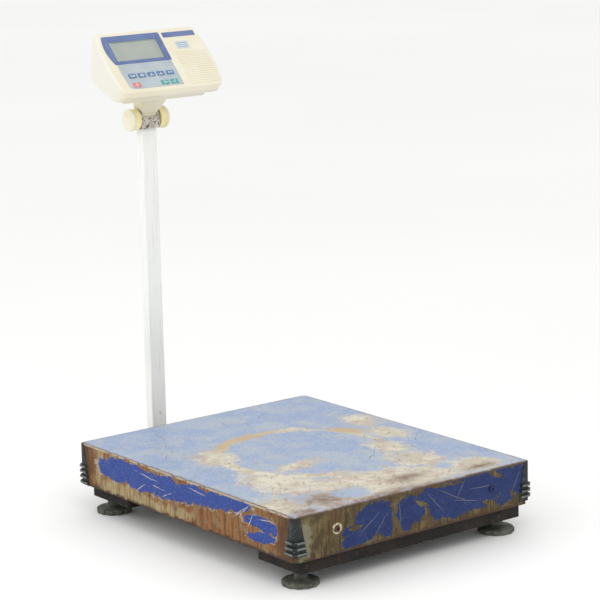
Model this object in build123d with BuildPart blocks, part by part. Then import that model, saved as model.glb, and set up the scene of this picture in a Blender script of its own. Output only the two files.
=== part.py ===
from build123d import *
import os
from math import cos, pi, radians, sin, sqrt

# Bench scale: a loose sheet-steel platform cover over a load-cell frame on
# four levelling feet, with a rear column that carries a tilting indicator.
# Frame: origin on the floor under the middle of the overall box, +X to the
# operator's right, +Y away from the operator, +Z up. All sizes in mm.

os.makedirs("parts", exist_ok=True)

# ---------------------------------------------------------------- platform
PAN_W = 500.0          # cover, left to right
PAN_D = 615.0          # cover, front to back
PAN_TOP = 125.0        # weighing surface above the floor
PAN_H = 75.0           # height of the skirt
PAN_SHEET = 2.0
PAN_CORNER = 9.0       # flat across each upright corner, filled by the guard
CORNER_INSET = 2 - sqrt(2)  # how the flat shortens per mm of inset
GUARD_T = 1.0          # how far a corner guard stands off the skirt
FIN_OUT = 4.0          # how far its fins stand off the guard
FIN_Z = [84.0, 74.5, 65.0, 55.0]
SKIRT_BOTTOM = PAN_TOP - PAN_H
FRONT_LEFT_CUT = 10.0  # worn-away foot of each front guard
FRONT_RIGHT_CUT = 6.0

# ------------------------------------------------------------ column, tilt
COLUMN_BACK = 128.5    # column centre behind the cover's rear edge
COLUMN_W = 32.0
COLUMN_T = 20.0
COLUMN_WALL = 1.2
SOCKET_H = 32.0
SOCKET_BOLT_Z = (55.0, 69.0)
YOKE_SCREW_X = 9.0
YOKE_SCREW_Z = 630.0
AXLE_Z = 661.5         # tilt axis above the floor
KNOB_R = 20.5
AXLE_R = 4.0
RUNNING = 0.06         # radial clearance of a turning fit

# Cover centre, placed so that the overall box is centred on the origin.
FRONT_REACH = PAN_D / 2 + GUARD_T + FIN_OUT
REAR_REACH = PAN_D / 2 + COLUMN_BACK + KNOB_R
PAN_Y = (FRONT_REACH - REAR_REACH) / 2
COLUMN_Y = PAN_Y + PAN_D / 2 + COLUMN_BACK

# --------------------------------------------------------------- base frame
BASE_BOTTOM = 28.0
BASE_TOP = 58.0
BASE_SHEET = 3.0
BEAM_W = 470.0
BEAM_FRONT = PAN_Y - 300.0     # front face of the front beam
BEAM_REAR = PAN_Y + 296.0      # rear face of the rear beam
BEAM_D = 112.0
SPINE_W = 76.0
ARM_W = 60.0
ARM_TOP = 46.0
ARM_END = COLUMN_Y + 24.0
FOOT_X = 210.0
FOOT_Y = 268.0                 # from the cover's centre
FOOT_R = 31.0
SCALLOP_R = 9.0                # finger scallops round a foot's rim
STUD_R = 5.0

# ------------------------------------------------- load cell, upper frame
SPACER = 3.0
CELL = (40.0, 150.0, 33.0)
CELL_Z = BASE_TOP + SPACER
FRAME_BOTTOM = CELL_Z + CELL[2] + SPACER
FRAME_H = 20.0
FRAME_TOP = FRAME_BOTTOM + FRAME_H
FRAME_W = 440.0
FRAME_D = 560.0
TUBE_W = 30.0
STOP_X = FRAME_W / 2 - TUBE_W / 2
STOP_Y = 225.0
STOP_GAP = 1.2
CUSHION_PITCH = 215.0
COVER_SCREW_X = 165.0
COVER_SCREW_Z = 91.5
CABLE_R = 2.25
CABLE_Z = 36.0                 # cable height inside the base

# ---------------------------------------------------------------- indicator
FACE_TILT = 47.0               # front face above the horizontal
FACE_LEN = 134.5
CASE_HALF = 115.0
CASE_WALL = 2.5
HEAD_TOP = (-4.2, 160.9)       # top front edge, from the tilt axis (y, z)
HEAD_REAR = 1.0                # back wall, from the tilt axis
UNDER_FRONT = (-66.0, 44.5)
UNDER_REAR = (HEAD_REAR, 81.0)
SEAM = 3.0                     # seam above the underside
TUB_HALF = 90.0
TUB_DEEP = 8.0
NECK_T = 24.0
NECK_W = 30.0
NECK_FLARE = 56.0
NECK_LEAN = 13.0               # the flare's middle, in front of the tilt axis
YOKE_HALF = 20.0
YOKE_R = 17.0
TILT_FORWARD = 20.0
TILT_BACK = 45.0

# Face features: x from the middle, s down the face from its top edge.
BEZEL = (-97.5, 25.0, 8.5, 71.5)
WINDOW = (-88.0, 13.0, 22.0, 64.5)
LEGEND = (-93.0, 22.5, 72.2, 85.8)
PANEL = (-93.5, 23.5, 86.8, 127.0)
NAME = (31.0, 101.0, 10.5, 21.5)
RIDGES = (38.0, 106.0, 58.0, 128.0)
KEY_W = 15.5
KEY_H = 9.5
KEY_GAP = 0.3
KEY_PITCH = 20.1
KEY_X0 = -74.0
KEY_ROW_1 = 99.0
KEY_ROW_2 = 119.0
KEY_TRAVEL = 0.5
BEZEL_T = 1.5
BEZEL_RECESS = 1.0
PANEL_T = 1.2
PANEL_RECESS = 0.8
BOARD_DEPTH = 9.0
BOARD_POSTS = [(-95, -80), (93, -80), (-93, -18), (93, -30)]
CASE_SCREWS = [(-98.5, 15), (98.5, 15), (-100, 58), (100, 58)]
INLET = (-60.0, 116.0)         # power inlet in the back wall, x and z from the tilt axis

# Planes of the indicator: the front face, and the underside.
FACE_TOP = (0, COLUMN_Y + HEAD_TOP[0], AXLE_Z + HEAD_TOP[1])
FACE = Plane(
    origin=FACE_TOP,
    x_dir=(1, 0, 0),
    z_dir=(0, -sin(radians(FACE_TILT)), cos(radians(FACE_TILT))),
)
UNDER_RUN = UNDER_REAR[0] - UNDER_FRONT[0]
UNDER_RISE = UNDER_REAR[1] - UNDER_FRONT[1]
UNDER_LEN = sqrt(UNDER_RUN**2 + UNDER_RISE**2)
UNDER_COS = UNDER_RUN / UNDER_LEN
UNDER_SIN = UNDER_RISE / UNDER_LEN
UNDER = Plane(
    origin=(0, COLUMN_Y + UNDER_FRONT[0], AXLE_Z + UNDER_FRONT[1]),
    x_dir=(1, 0, 0),
    z_dir=(0, UNDER_SIN, -UNDER_COS),
)


INLET_PLANE = Plane(
    origin=(INLET[0], COLUMN_Y + HEAD_REAR, AXLE_Z + INLET[1]),
    x_dir=(1, 0, 0),
    z_dir=(0, 1, 0),
)


def save(piece, label):
    """Label one finished piece and write its STEP file."""
    piece.part.label = label
    export_step(piece.part, f"parts/{label}.step")


def span(x0, x1, s0, s1):
    """Centre and size of a rectangle on the face, from its limits."""
    return ((x0 + x1) / 2, -(s0 + s1) / 2), (x1 - x0, s1 - s0)


def face_rectangle(area, depth, thick, radius):
    """A rounded plate on the face: depth to its back, thick up from there."""
    centre, size = span(*area)
    with BuildPart() as plate:
        with BuildSketch(FACE.offset(-depth)):
            with Locations(centre):
                RectangleRounded(size[0], size[1], radius)
        extrude(amount=thick)
    return plate.part


# =================================================================== base
def tray_beam(front, label):
    """A pressed beam across the base: an open-bottomed tray, feet at its ends."""
    middle = front + BEAM_D / 2
    foot_y = PAN_Y - FOOT_Y if middle < PAN_Y else PAN_Y + FOOT_Y
    stop_y = PAN_Y - STOP_Y if middle < PAN_Y else PAN_Y + STOP_Y
    with BuildPart() as beam:
        with BuildSketch(Plane.XY.offset(BASE_BOTTOM)):
            with Locations((0, middle)):
                RectangleRounded(BEAM_W, BEAM_D, 4)
        extrude(amount=BASE_TOP - BASE_BOTTOM)
        fillet(beam.faces().sort_by(Axis.Z)[-1].edges(), 2.5)
        with BuildSketch(Plane.XY.offset(BASE_BOTTOM)):
            with Locations((0, middle)):
                RectangleRounded(BEAM_W - 2 * BASE_SHEET, BEAM_D - 2 * BASE_SHEET, 2)
        extrude(amount=BASE_TOP - BASE_BOTTOM - BASE_SHEET, mode=Mode.SUBTRACT)
        for x in (-FOOT_X, FOOT_X):
            with Locations((x, foot_y, BASE_TOP)):
                Hole(STUD_R + 0.5, depth=2 * BASE_SHEET)
        for x in (-STOP_X, STOP_X):
            with Locations((x, stop_y, BASE_TOP)):
                Hole(4.2, depth=2 * BASE_SHEET)
        if middle > PAN_Y:
            with Locations(Location((0, middle, CABLE_Z), (90, 0, 0))):
                Cylinder(6, BEAM_D + 2, mode=Mode.SUBTRACT)
    save(beam, label)


def base_spine():
    """The channel that joins the beams and carries the load cell."""
    y0 = BEAM_FRONT + BEAM_D
    y1 = BEAM_REAR - BEAM_D
    length = y1 - y0
    with BuildPart() as spine:
        with BuildSketch(Plane.XZ.offset(-y1)):
            with Locations((0, (BASE_TOP + BASE_BOTTOM) / 2)):
                Rectangle(SPINE_W, BASE_TOP - BASE_BOTTOM)
            with Locations((0, (BASE_TOP + BASE_BOTTOM) / 2 - BASE_SHEET)):
                Rectangle(SPINE_W - 2 * BASE_SHEET, BASE_TOP - BASE_BOTTOM, mode=Mode.SUBTRACT)
        extrude(amount=length)
        with Locations(*[(x, PAN_Y + 60 + dy, BASE_TOP) for x in (-10, 10) for dy in (-9, 9)]):
            Hole(3.3, depth=2 * BASE_SHEET)
        with Locations((0, PAN_Y + 100, BASE_TOP)):
            Hole(6, depth=2 * BASE_SHEET)
    save(spine, "base_spine")


def column_arm():
    """The flat channel behind the rear beam that the column stands on."""
    length = ARM_END - BEAM_REAR
    middle = (ARM_END + BEAM_REAR) / 2
    height = ARM_TOP - BASE_BOTTOM
    with BuildPart() as arm:
        with Locations((0, middle, BASE_BOTTOM + height / 2)):
            Box(ARM_W, length, height)
        fillet(arm.edges().filter_by(Axis.Z).sort_by(Axis.Y)[-2:], 8)
        with Locations((0, middle - BASE_SHEET / 2, BASE_BOTTOM + (height - BASE_SHEET) / 2)):
            Box(
                ARM_W - 2 * BASE_SHEET,
                length - BASE_SHEET,
                height - BASE_SHEET,
                mode=Mode.SUBTRACT,
            )
        with BuildSketch(Plane.XY.offset(ARM_TOP)):
            with Locations((0, COLUMN_Y - 1)):
                SlotOverall(20, 10)
        extrude(amount=-2 * BASE_SHEET, mode=Mode.SUBTRACT)
    save(arm, "column_arm")


def column_socket():
    """The upright sleeve on the arm that grips the column's foot."""
    with BuildPart() as socket:
        with BuildSketch(Plane.XY.offset(ARM_TOP)):
            with Locations((0, COLUMN_Y)):
                RectangleRounded(COLUMN_W + 7.4, COLUMN_T + 7.4, 4)
                RectangleRounded(COLUMN_W + 0.4, COLUMN_T + 0.4, 2.4, mode=Mode.SUBTRACT)
        extrude(amount=SOCKET_H)
        for z in SOCKET_BOLT_Z:
            with Locations(Location((0, COLUMN_Y + COLUMN_T / 2 + 2, z), (90, 0, 0))):
                Cylinder(3.1, 6, mode=Mode.SUBTRACT)
    save(socket, "column_socket")


def hex_bolt_z(x, y, seat, length, radius, up):
    """One hexagon bolt on Z: head under or over its seat, shank the other way."""
    head = 0.65 * 2 * radius
    sign = 1 if up else -1
    with BuildPart() as bolt:
        with BuildSketch(Plane.XY.offset(seat)):
            with Locations((x, y)):
                RegularPolygon(radius * 1.9, 6)
        extrude(amount=sign * head)
        with BuildSketch(Plane.XY.offset(seat)):
            with Locations((x, y)):
                Circle(radius)
        extrude(amount=-sign * length)
    return bolt.part


def socket_bolts():
    """Two bolts through the socket's rear wall that press on the column."""
    wall = 3.5
    back = COLUMN_Y + COLUMN_T / 2 + 0.2 + wall
    with BuildPart() as bolts:
        for z in SOCKET_BOLT_Z:
            with BuildSketch(Plane.XZ.offset(-back)):
                with Locations((0, z)):
                    RegularPolygon(5.8, 6)
            extrude(amount=-4)
            with BuildSketch(Plane.XZ.offset(-back)):
                with Locations((0, z)):
                    Circle(3)
            extrude(amount=wall + 0.2)
    save(bolts, "socket_bolts")


def foot_positions():
    """Name and place of each levelling foot."""
    for side, x in (("left", -FOOT_X), ("right", FOOT_X)):
        for end, y in (("front", PAN_Y - FOOT_Y), ("rear", PAN_Y + FOOT_Y)):
            yield f"{end}_{side}", x, y


def foot_nuts():
    """Weld nuts under the beams' top plates that the studs run in."""
    with BuildPart() as nuts:
        for _, x, y in foot_positions():
            with BuildSketch(Plane.XY.offset(BASE_TOP - BASE_SHEET)):
                with Locations((x, y)):
                    RegularPolygon(10, 6)
                    Circle(STUD_R + 0.3, mode=Mode.SUBTRACT)
            extrude(amount=-12)
    save(nuts, "foot_weld_nuts")


def foot_stud(name, x, y):
    """Threaded stud of one levelling foot, standing in its pad."""
    with BuildPart() as stud:
        with BuildSketch(Plane.XY.offset(4)):
            with Locations((x, y)):
                Circle(STUD_R)
        extrude(amount=70)
        chamfer(stud.edges().sort_by(Axis.Z)[-1], 1)
    save(stud, f"foot_stud_{name}")


def foot_pad(name, x, y):
    """Scalloped foot: a low dished disc that is turned by hand, with a hub."""
    with BuildPart() as pad:
        with BuildSketch(Plane.XZ.offset(-y)):
            with BuildLine():
                Polyline((x, 0), (x + FOOT_R - 1.5, 0), (x + FOOT_R, 1.5), (x + FOOT_R, 6))
                ThreePointArc((x + FOOT_R, 6), (x + FOOT_R - 1, 7.6), (x + FOOT_R - 3, 8.3))
                Polyline(
                    (x + FOOT_R - 3, 8.3),
                    (x + 13, 11.5),
                    (x + 11, 13),
                    (x + 11, 20),
                    (x, 20),
                    (x, 0),
                )
            make_face()
        revolve(axis=Axis((x, y, 0), (0, 0, 1)))
        with BuildSketch(Plane.XY):
            with Locations((x, y)):
                with PolarLocations(FOOT_R + 0.72 * SCALLOP_R, 12):
                    Circle(SCALLOP_R)
        extrude(amount=9, mode=Mode.SUBTRACT)
        with Locations((x, y, 20)):
            Hole(STUD_R + RUNNING, depth=16)
    save(pad, f"foot_pad_{name}")


# ================================================== load cell, upper frame
def load_cell():
    """Aluminium single-point cell: rear end fixed, front end carries the frame."""
    y = PAN_Y
    top = CELL_Z + CELL[2]
    with BuildPart() as cell:
        with Locations((0, y, CELL_Z + CELL[2] / 2)):
            Box(*CELL)
        with BuildSketch(Plane.YZ.offset(-CELL[0] / 2)):
            with Locations((y - 14, CELL_Z + CELL[2] / 2), (y + 14, CELL_Z + CELL[2] / 2)):
                Circle(12)
            with Locations((y, CELL_Z + CELL[2] / 2)):
                Rectangle(28, 8)
        extrude(amount=CELL[0], mode=Mode.SUBTRACT)
        with Locations(*[(x, y + 60 + dy, CELL_Z + 15) for x in (-10, 10) for dy in (-9, 9)]):
            Hole(3.1, depth=15)
        with Locations(*[(x, y - 60 + dy, top) for x in (-10, 10) for dy in (-9, 9)]):
            Hole(3.3, depth=15)
    save(cell, "load_cell")


def cell_spacer(y, z, label):
    """Packing plate between one end of the cell and its frame."""
    with BuildPart() as spacer:
        with BuildSketch(Plane.XY.offset(z)):
            with Locations((0, y)):
                RectangleRounded(CELL[0], 30, 2)
                with GridLocations(20, 18, 2, 2):
                    Circle(3.3, mode=Mode.SUBTRACT)
        extrude(amount=SPACER)
    save(spacer, label)


def cell_bolts():
    """Bolts that hold the fixed end to the spine, and the live end to the frame."""
    with BuildPart() as lower:
        for x in (-10, 10):
            for dy in (-9, 9):
                add(hex_bolt_z(x, PAN_Y + 60 + dy, BASE_TOP - BASE_SHEET, 20, 3, False))
    save(lower, "cell_bolts_lower")
    with BuildPart() as upper:
        for x in (-10, 10):
            for dy in (-9, 9):
                add(hex_bolt_z(x, PAN_Y - 60 + dy, FRAME_BOTTOM + 6, 20, 3, True))
    save(upper, "cell_bolts_upper")


def overload_stops():
    """Screws on the beams that catch the frame just before the cell overloads."""
    top = FRAME_BOTTOM - STOP_GAP
    with BuildPart() as stops:
        for x in (-STOP_X, STOP_X):
            for y in (PAN_Y - STOP_Y, PAN_Y + STOP_Y):
                with BuildSketch(Plane.XY.offset(BASE_TOP)):
                    with Locations((x, y)):
                        RegularPolygon(8, 6)
                extrude(amount=7)
                with BuildSketch(Plane.XY.offset(BASE_TOP - 8)):
                    with Locations((x, y)):
                        Circle(4)
                extrude(amount=top - BASE_TOP + 8)
    save(stops, "overload_stops")


def upper_frame():
    """Welded channel frame under the cover, bolted to the cell's live end."""
    middle_x = 85.0
    tab_y = PAN_D / 2 - PAN_SHEET - 0.5
    tab_low = COVER_SCREW_Z - 9.5
    wall = 2.0
    with BuildPart() as frame:
        with BuildSketch(Plane.XY.offset(FRAME_BOTTOM)):
            with Locations((0, PAN_Y)):
                Rectangle(FRAME_W, FRAME_D)
                Rectangle(FRAME_W - 2 * TUBE_W, FRAME_D - 2 * TUBE_W, mode=Mode.SUBTRACT)
            with Locations((-middle_x, PAN_Y), (middle_x, PAN_Y)):
                Rectangle(TUBE_W, FRAME_D - 2)
        extrude(amount=FRAME_H)
        with BuildSketch(Plane.XY.offset(FRAME_BOTTOM)):
            with Locations((0, PAN_Y)):
                Rectangle(FRAME_W - 2 * wall, FRAME_D - 2 * wall)
                Rectangle(
                    FRAME_W - 2 * TUBE_W + 2 * wall,
                    FRAME_D - 2 * TUBE_W + 2 * wall,
                    mode=Mode.SUBTRACT,
                )
            with Locations((-middle_x, PAN_Y), (middle_x, PAN_Y)):
                Rectangle(TUBE_W - 2 * wall, FRAME_D - 2 - 2 * wall)
        extrude(amount=FRAME_H - wall, mode=Mode.SUBTRACT)
        with BuildSketch(Plane.XY.offset(FRAME_BOTTOM)):
            with Locations((0, PAN_Y - 60)):
                Rectangle(2 * middle_x - TUBE_W + wall, 60)
                with GridLocations(20, 18, 2, 2):
                    Circle(3.3, mode=Mode.SUBTRACT)
        extrude(amount=6)
        with Locations((0, PAN_Y, FRAME_BOTTOM + 1.5)):
            with GridLocations(2 * STOP_X, 2 * STOP_Y, 2, 2):
                Box(TUBE_W, 34, 3)
        for sign in (-1, 1):
            tab_top_y = PAN_Y + sign * (tab_y + FRAME_D / 2 - 10) / 2
            for x in (-COVER_SCREW_X, COVER_SCREW_X):
                with Locations((x, PAN_Y + sign * (tab_y - 2), tab_low + (FRAME_TOP - tab_low) / 2)):
                    Box(26, 4, FRAME_TOP - tab_low)
                with Locations((x, tab_top_y, FRAME_TOP - 2)):
                    Box(26, tab_y - FRAME_D / 2 + 10, 4)
                with Locations(Location((x, PAN_Y + sign * tab_y, COVER_SCREW_Z), (90, 0, 0))):
                    Cylinder(3.1, 12, mode=Mode.SUBTRACT)
    save(frame, "upper_frame")


def cover_cushions():
    """Rubber pads between the upper frame and the cover."""
    with BuildPart() as cushions:
        with BuildSketch(Plane.XY.offset(FRAME_TOP)):
            with Locations((0, PAN_Y)):
                with GridLocations(FRAME_W - TUBE_W, CUSHION_PITCH, 2, 3):
                    RectangleRounded(24, 44, 3)
        extrude(amount=PAN_TOP - PAN_SHEET - FRAME_TOP)
    save(cushions, "cover_cushions")


# ================================================================== cover
def pan_block(inset):
    """The cover's outer form, or the space inside it when inset is the sheet."""
    with BuildPart() as block:
        with BuildSketch(Plane.XY.offset(PAN_TOP - PAN_H - inset)):
            with Locations((0, PAN_Y)):
                Rectangle(PAN_W - 2 * inset, PAN_D - 2 * inset)
            chamfer(vertices(), PAN_CORNER - CORNER_INSET * inset)
        extrude(amount=PAN_H)
    return block.part


def platform_cover():
    """The sheet-steel cover: flat top, folded skirt, holes for its screws."""
    with BuildPart() as cover:
        add(pan_block(0))
        fillet(cover.faces().sort_by(Axis.Z)[-1].edges(), 2.5)
        add(pan_block(PAN_SHEET), mode=Mode.SUBTRACT)
        for x in (-COVER_SCREW_X, COVER_SCREW_X):
            with Locations(Location((x, PAN_Y, COVER_SCREW_Z), (90, 0, 0))):
                Cylinder(3.3, PAN_D + 2, mode=Mode.SUBTRACT)
    save(cover, "platform_cover")


def button_screw(plane):
    """One button-head screw: the head stands on the plane, the shank goes below."""
    with BuildPart() as screw:
        with BuildSketch(plane):
            Circle(5.5)
        extrude(amount=2.6)
        fillet(screw.edges().sort_by(Axis(plane.origin, plane.z_dir))[-1], 1.6)
        with BuildSketch(plane.offset(2.7)):
            RegularPolygon(2.3, 6)
        extrude(amount=-1.9, mode=Mode.SUBTRACT)
        with BuildSketch(plane):
            Circle(3)
        extrude(amount=-8)
    return screw.part


def cover_screws():
    """Button-head screws through the skirt into the upper frame's tabs."""
    with BuildPart() as screws:
        for sign in (-1, 1):
            for x in (-COVER_SCREW_X, COVER_SCREW_X):
                origin = (x, PAN_Y + sign * PAN_D / 2, COVER_SCREW_Z)
                add(button_screw(Plane(origin=origin, x_dir=(1, 0, 0), z_dir=(0, sign, 0))))
    save(screws, "cover_screws")


def guard_outline(corner_x, corner_y, sx, sy, out, leg, blunt):
    """The L-shaped plan of a corner guard: out beyond the skirt, leg along it."""
    inner = PAN_CORNER + 2
    points = [
        (-out + blunt, -out),
        (leg, -out),
        (leg, inner),
        (inner, inner),
        (inner, leg),
        (-out, leg),
        (-out, -out + blunt),
    ]
    return [(corner_x - sx * u, corner_y - sy * v) for u, v in points]


def corner_guard(sx, sy, bottom, fins, label):
    """Rubber guard on one upright corner: it widens downwards and has fins."""
    x = sx * PAN_W / 2
    y = PAN_Y + sy * PAN_D / 2
    top = PAN_TOP - 1.5
    leg_top = 11.5
    leg_per_mm = 0.18
    with BuildPart() as guard:
        for z in (top, bottom):
            leg = leg_top + leg_per_mm * (top - z)
            with BuildSketch(Plane.XY.offset(z)):
                with BuildLine():
                    Polyline(*guard_outline(x, y, sx, sy, GUARD_T, leg, 5.0), close=True)
                make_face()
        loft()
        for z in fins:
            leg = leg_top + leg_per_mm * (top - z)
            with BuildSketch(Plane.XY.offset(z - 1.7)):
                with BuildLine():
                    Polyline(*guard_outline(x, y, sx, sy, GUARD_T + FIN_OUT, leg, 7.5), close=True)
                make_face()
            extrude(amount=3.4)
        add(pan_block(0), mode=Mode.SUBTRACT)
    save(guard, label)


# ========================================================== column and tilt
def column():
    """The upright: a rectangular steel tube, painted."""
    foot = ARM_TOP + 2
    height = AXLE_Z - YOKE_R - foot
    with BuildPart() as post:
        with BuildSketch(Plane.XY.offset(foot)):
            with Locations((0, COLUMN_Y)):
                RectangleRounded(COLUMN_W, COLUMN_T, 2.4)
                RectangleRounded(
                    COLUMN_W - 2 * COLUMN_WALL,
                    COLUMN_T - 2 * COLUMN_WALL,
                    1.2,
                    mode=Mode.SUBTRACT,
                )
        extrude(amount=height)
        for x in (-YOKE_SCREW_X, YOKE_SCREW_X):
            with Locations(Location((x, COLUMN_Y + COLUMN_T / 2, YOKE_SCREW_Z), (90, 0, 0))):
                Cylinder(2.1, 4, mode=Mode.SUBTRACT)
    save(post, "column")


def tilt_yoke():
    """Metal clevis on top of the column: two ears, a front lip and a spigot."""
    front = radians(TILT_FORWARD)
    back = radians(TILT_BACK)
    reach = NECK_T / 2 + 0.4
    lip = 4.5
    tongue = 13.6
    front_low = (-reach * cos(front), -reach * sin(front))
    front_high = (front_low[0] - 40 * sin(front), front_low[1] + 40 * cos(front))
    rear_low = (reach * cos(back), -reach * sin(back))
    rear_high = (rear_low[0] + 40 * sin(back), rear_low[1] + 40 * cos(back))
    centre = (COLUMN_Y, AXLE_Z)
    swept = [
        (centre[0] + p[0], centre[1] + p[1]) for p in (front_low, front_high, rear_high, rear_low)
    ]
    slot_half = NECK_W / 2 + 0.4
    with BuildPart() as yoke:
        with BuildSketch(Plane.YZ.offset(-YOKE_HALF)):
            with Locations(centre):
                Circle(YOKE_R)
            with Locations((centre[0], centre[1] - YOKE_R / 2)):
                Rectangle(2 * YOKE_R, YOKE_R)
        extrude(amount=2 * YOKE_HALF)
        fillet(yoke.edges().filter_by(Axis.Z), 2)
        with BuildSketch(Plane.YZ.offset(-slot_half)):
            with Locations(centre):
                Circle(tongue)
            with BuildLine():
                Polyline(*swept, close=True)
            make_face()
            with Locations((centre[0] - 15, centre[1] + lip + 15)):
                Rectangle(30, 30)
        extrude(amount=2 * slot_half, mode=Mode.SUBTRACT)
        with BuildSketch(Plane.XY.offset(AXLE_Z - YOKE_R)):
            with Locations((0, COLUMN_Y)):
                RectangleRounded(
                    COLUMN_W - 2 * COLUMN_WALL - 0.4,
                    COLUMN_T - 2 * COLUMN_WALL - 0.4,
                    1.4,
                )
        extrude(amount=-30)
        with Locations(Location((0, COLUMN_Y, AXLE_Z), (0, 90, 0))):
            Cylinder(AXLE_R + 0.1, 2 * YOKE_HALF + 2, mode=Mode.SUBTRACT)
        with Locations((0, COLUMN_Y, AXLE_Z - 30)):
            Cylinder(4, 44, mode=Mode.SUBTRACT)
        for x in (-YOKE_SCREW_X, YOKE_SCREW_X):
            with Locations(Location((x, COLUMN_Y + COLUMN_T / 2, YOKE_SCREW_Z), (90, 0, 0))):
                Cylinder(1.6, 12, mode=Mode.SUBTRACT)
    save(yoke, "tilt_yoke")


def yoke_screws():
    """Two screws through the column's rear face into the yoke's spigot."""
    back = COLUMN_Y + COLUMN_T / 2
    with BuildPart() as screws:
        for x in (-YOKE_SCREW_X, YOKE_SCREW_X):
            with BuildSketch(Plane.XZ.offset(-back)):
                with Locations((x, YOKE_SCREW_Z)):
                    Circle(3.4)
            extrude(amount=-2)
            with BuildSketch(Plane.XZ.offset(-back)):
                with Locations((x, YOKE_SCREW_Z)):
                    Circle(1.5)
            extrude(amount=6)
    save(screws, "yoke_screws")


def tilt_axle():
    """The threaded rod that the indicator tilts on, ending inside both knobs."""
    with BuildPart() as axle:
        with BuildSketch(Plane.YZ.offset(-YOKE_HALF - 14)):
            with Locations((COLUMN_Y, AXLE_Z)):
                Circle(AXLE_R)
        extrude(amount=2 * YOKE_HALF + 28)
    save(axle, "tilt_axle")


def clamp_knob(side, label):
    """Round two-step clamp knob: a ribbed rim by the yoke and a wider cap."""
    inner = YOKE_HALF + 2.0
    rim_len = 11.0
    cap_len = 6.4
    plane = Plane(origin=(side * inner, COLUMN_Y, AXLE_Z), x_dir=(0, side, 0), z_dir=(side, 0, 0))
    with BuildPart() as knob:
        with BuildSketch(plane.offset(-1.6)):
            Circle(9)
        extrude(amount=1.6)
        with BuildSketch(plane):
            Circle(KNOB_R - 1.3)
        extrude(amount=rim_len)
        with BuildSketch(plane.offset(rim_len)):
            Circle(KNOB_R)
        extrude(amount=cap_len)
        outer = knob.faces().sort_by(Axis.X)[-1 if side > 0 else 0]
        fillet(outer.edges(), 2.2)
        with BuildSketch(plane.offset(1.0)):
            with PolarLocations(KNOB_R - 0.6, 24):
                Circle(1.1)
        extrude(amount=rim_len - 2.0, mode=Mode.SUBTRACT)
        with BuildSketch(plane.offset(-1.6)):
            Circle(AXLE_R + RUNNING)
        extrude(amount=15.0, mode=Mode.SUBTRACT)
    save(knob, label)


def load_cell_cable():
    """The cell's lead: through the base and the arm, then up inside the column."""
    x = 0
    with BuildPart() as cable:
        with BuildLine():
            route = FilletPolyline(
                (x, PAN_Y + CELL[1] / 2, CELL_Z + 16),
                (x, PAN_Y + 100, CELL_Z + 16),
                (x, PAN_Y + 100, CABLE_Z),
                (x, COLUMN_Y, CABLE_Z),
                (x, COLUMN_Y, AXLE_Z - 16),
                radius=[14, 14, 16],
            )
        with BuildSketch(Plane(origin=route @ 0, z_dir=route % 0)):
            Circle(CABLE_R)
        sweep(path=route)
    length = route.length
    ratio = cable.part.volume / (pi * CABLE_R**2 * length)
    print("load-cell cable", round(length, 1), "volume ratio", round(ratio, 4))
    save(cable, "load_cell_cable")


# =============================================================== indicator
def head_block(inset):
    """The case's outer form: a wedge section cut to the face's barrel outline."""
    tilt = radians(FACE_TILT)
    nose = (HEAD_TOP[0] - FACE_LEN * cos(tilt), HEAD_TOP[1] - FACE_LEN * sin(tilt))
    section = [
        HEAD_TOP,
        (HEAD_REAR, 156.5),
        UNDER_REAR,
        UNDER_FRONT,
        (nose[0] + 3.4, nose[1] - 10.0),
        nose,
    ]
    bulge = CASE_HALF - inset
    top_half = bulge - 11
    low_half = bulge - 10
    top = 4 - inset
    low = inset - (FACE_LEN + 6.5)
    with BuildPart() as block:
        with BuildSketch(Plane.YZ.offset(-CASE_HALF - 5)):
            with BuildLine():
                Polyline(*[(COLUMN_Y + p[0], AXLE_Z + p[1]) for p in section], close=True)
            make_face()
            if inset:
                offset(amount=-inset, kind=Kind.INTERSECTION)
        extrude(amount=2 * CASE_HALF + 10)
        with BuildSketch(FACE.offset(5)):
            with BuildLine():
                Line((-top_half, top), (top_half, top))
                ThreePointArc((top_half, top), (bulge, -62), (low_half, low))
                Line((low_half, low), (-low_half, low))
                ThreePointArc((-low_half, low), (-bulge, -62), (-top_half, top))
            make_face()
            fillet(vertices().group_by(Axis.Y)[0], 24 - inset)
            fillet(vertices().group_by(Axis.Y)[-1], 13 - inset)
        extrude(amount=-160, mode=Mode.INTERSECT)
    return block.part


def rounded_head():
    """The outer form with its moulded edges rounded."""
    with BuildPart() as block:
        add(head_block(0))
        front = block.faces().sort_by(Axis(FACE_TOP, FACE.z_dir))[-1]
        fillet(front.edges(), 3.5)
    return block.part


def key_places():
    """Name and face position of each key."""
    names = ("key_mode", "key_print", "key_setpoint", "key_gross", "key_tare")
    for i, name in enumerate(names):
        yield name, KEY_X0 + i * KEY_PITCH, KEY_ROW_1
    yield "key_power", KEY_X0, KEY_ROW_2
    yield "key_zero", KEY_X0 + 3 * KEY_PITCH, KEY_ROW_2
    yield "key_reset", KEY_X0 + 4 * KEY_PITCH, KEY_ROW_2


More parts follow.
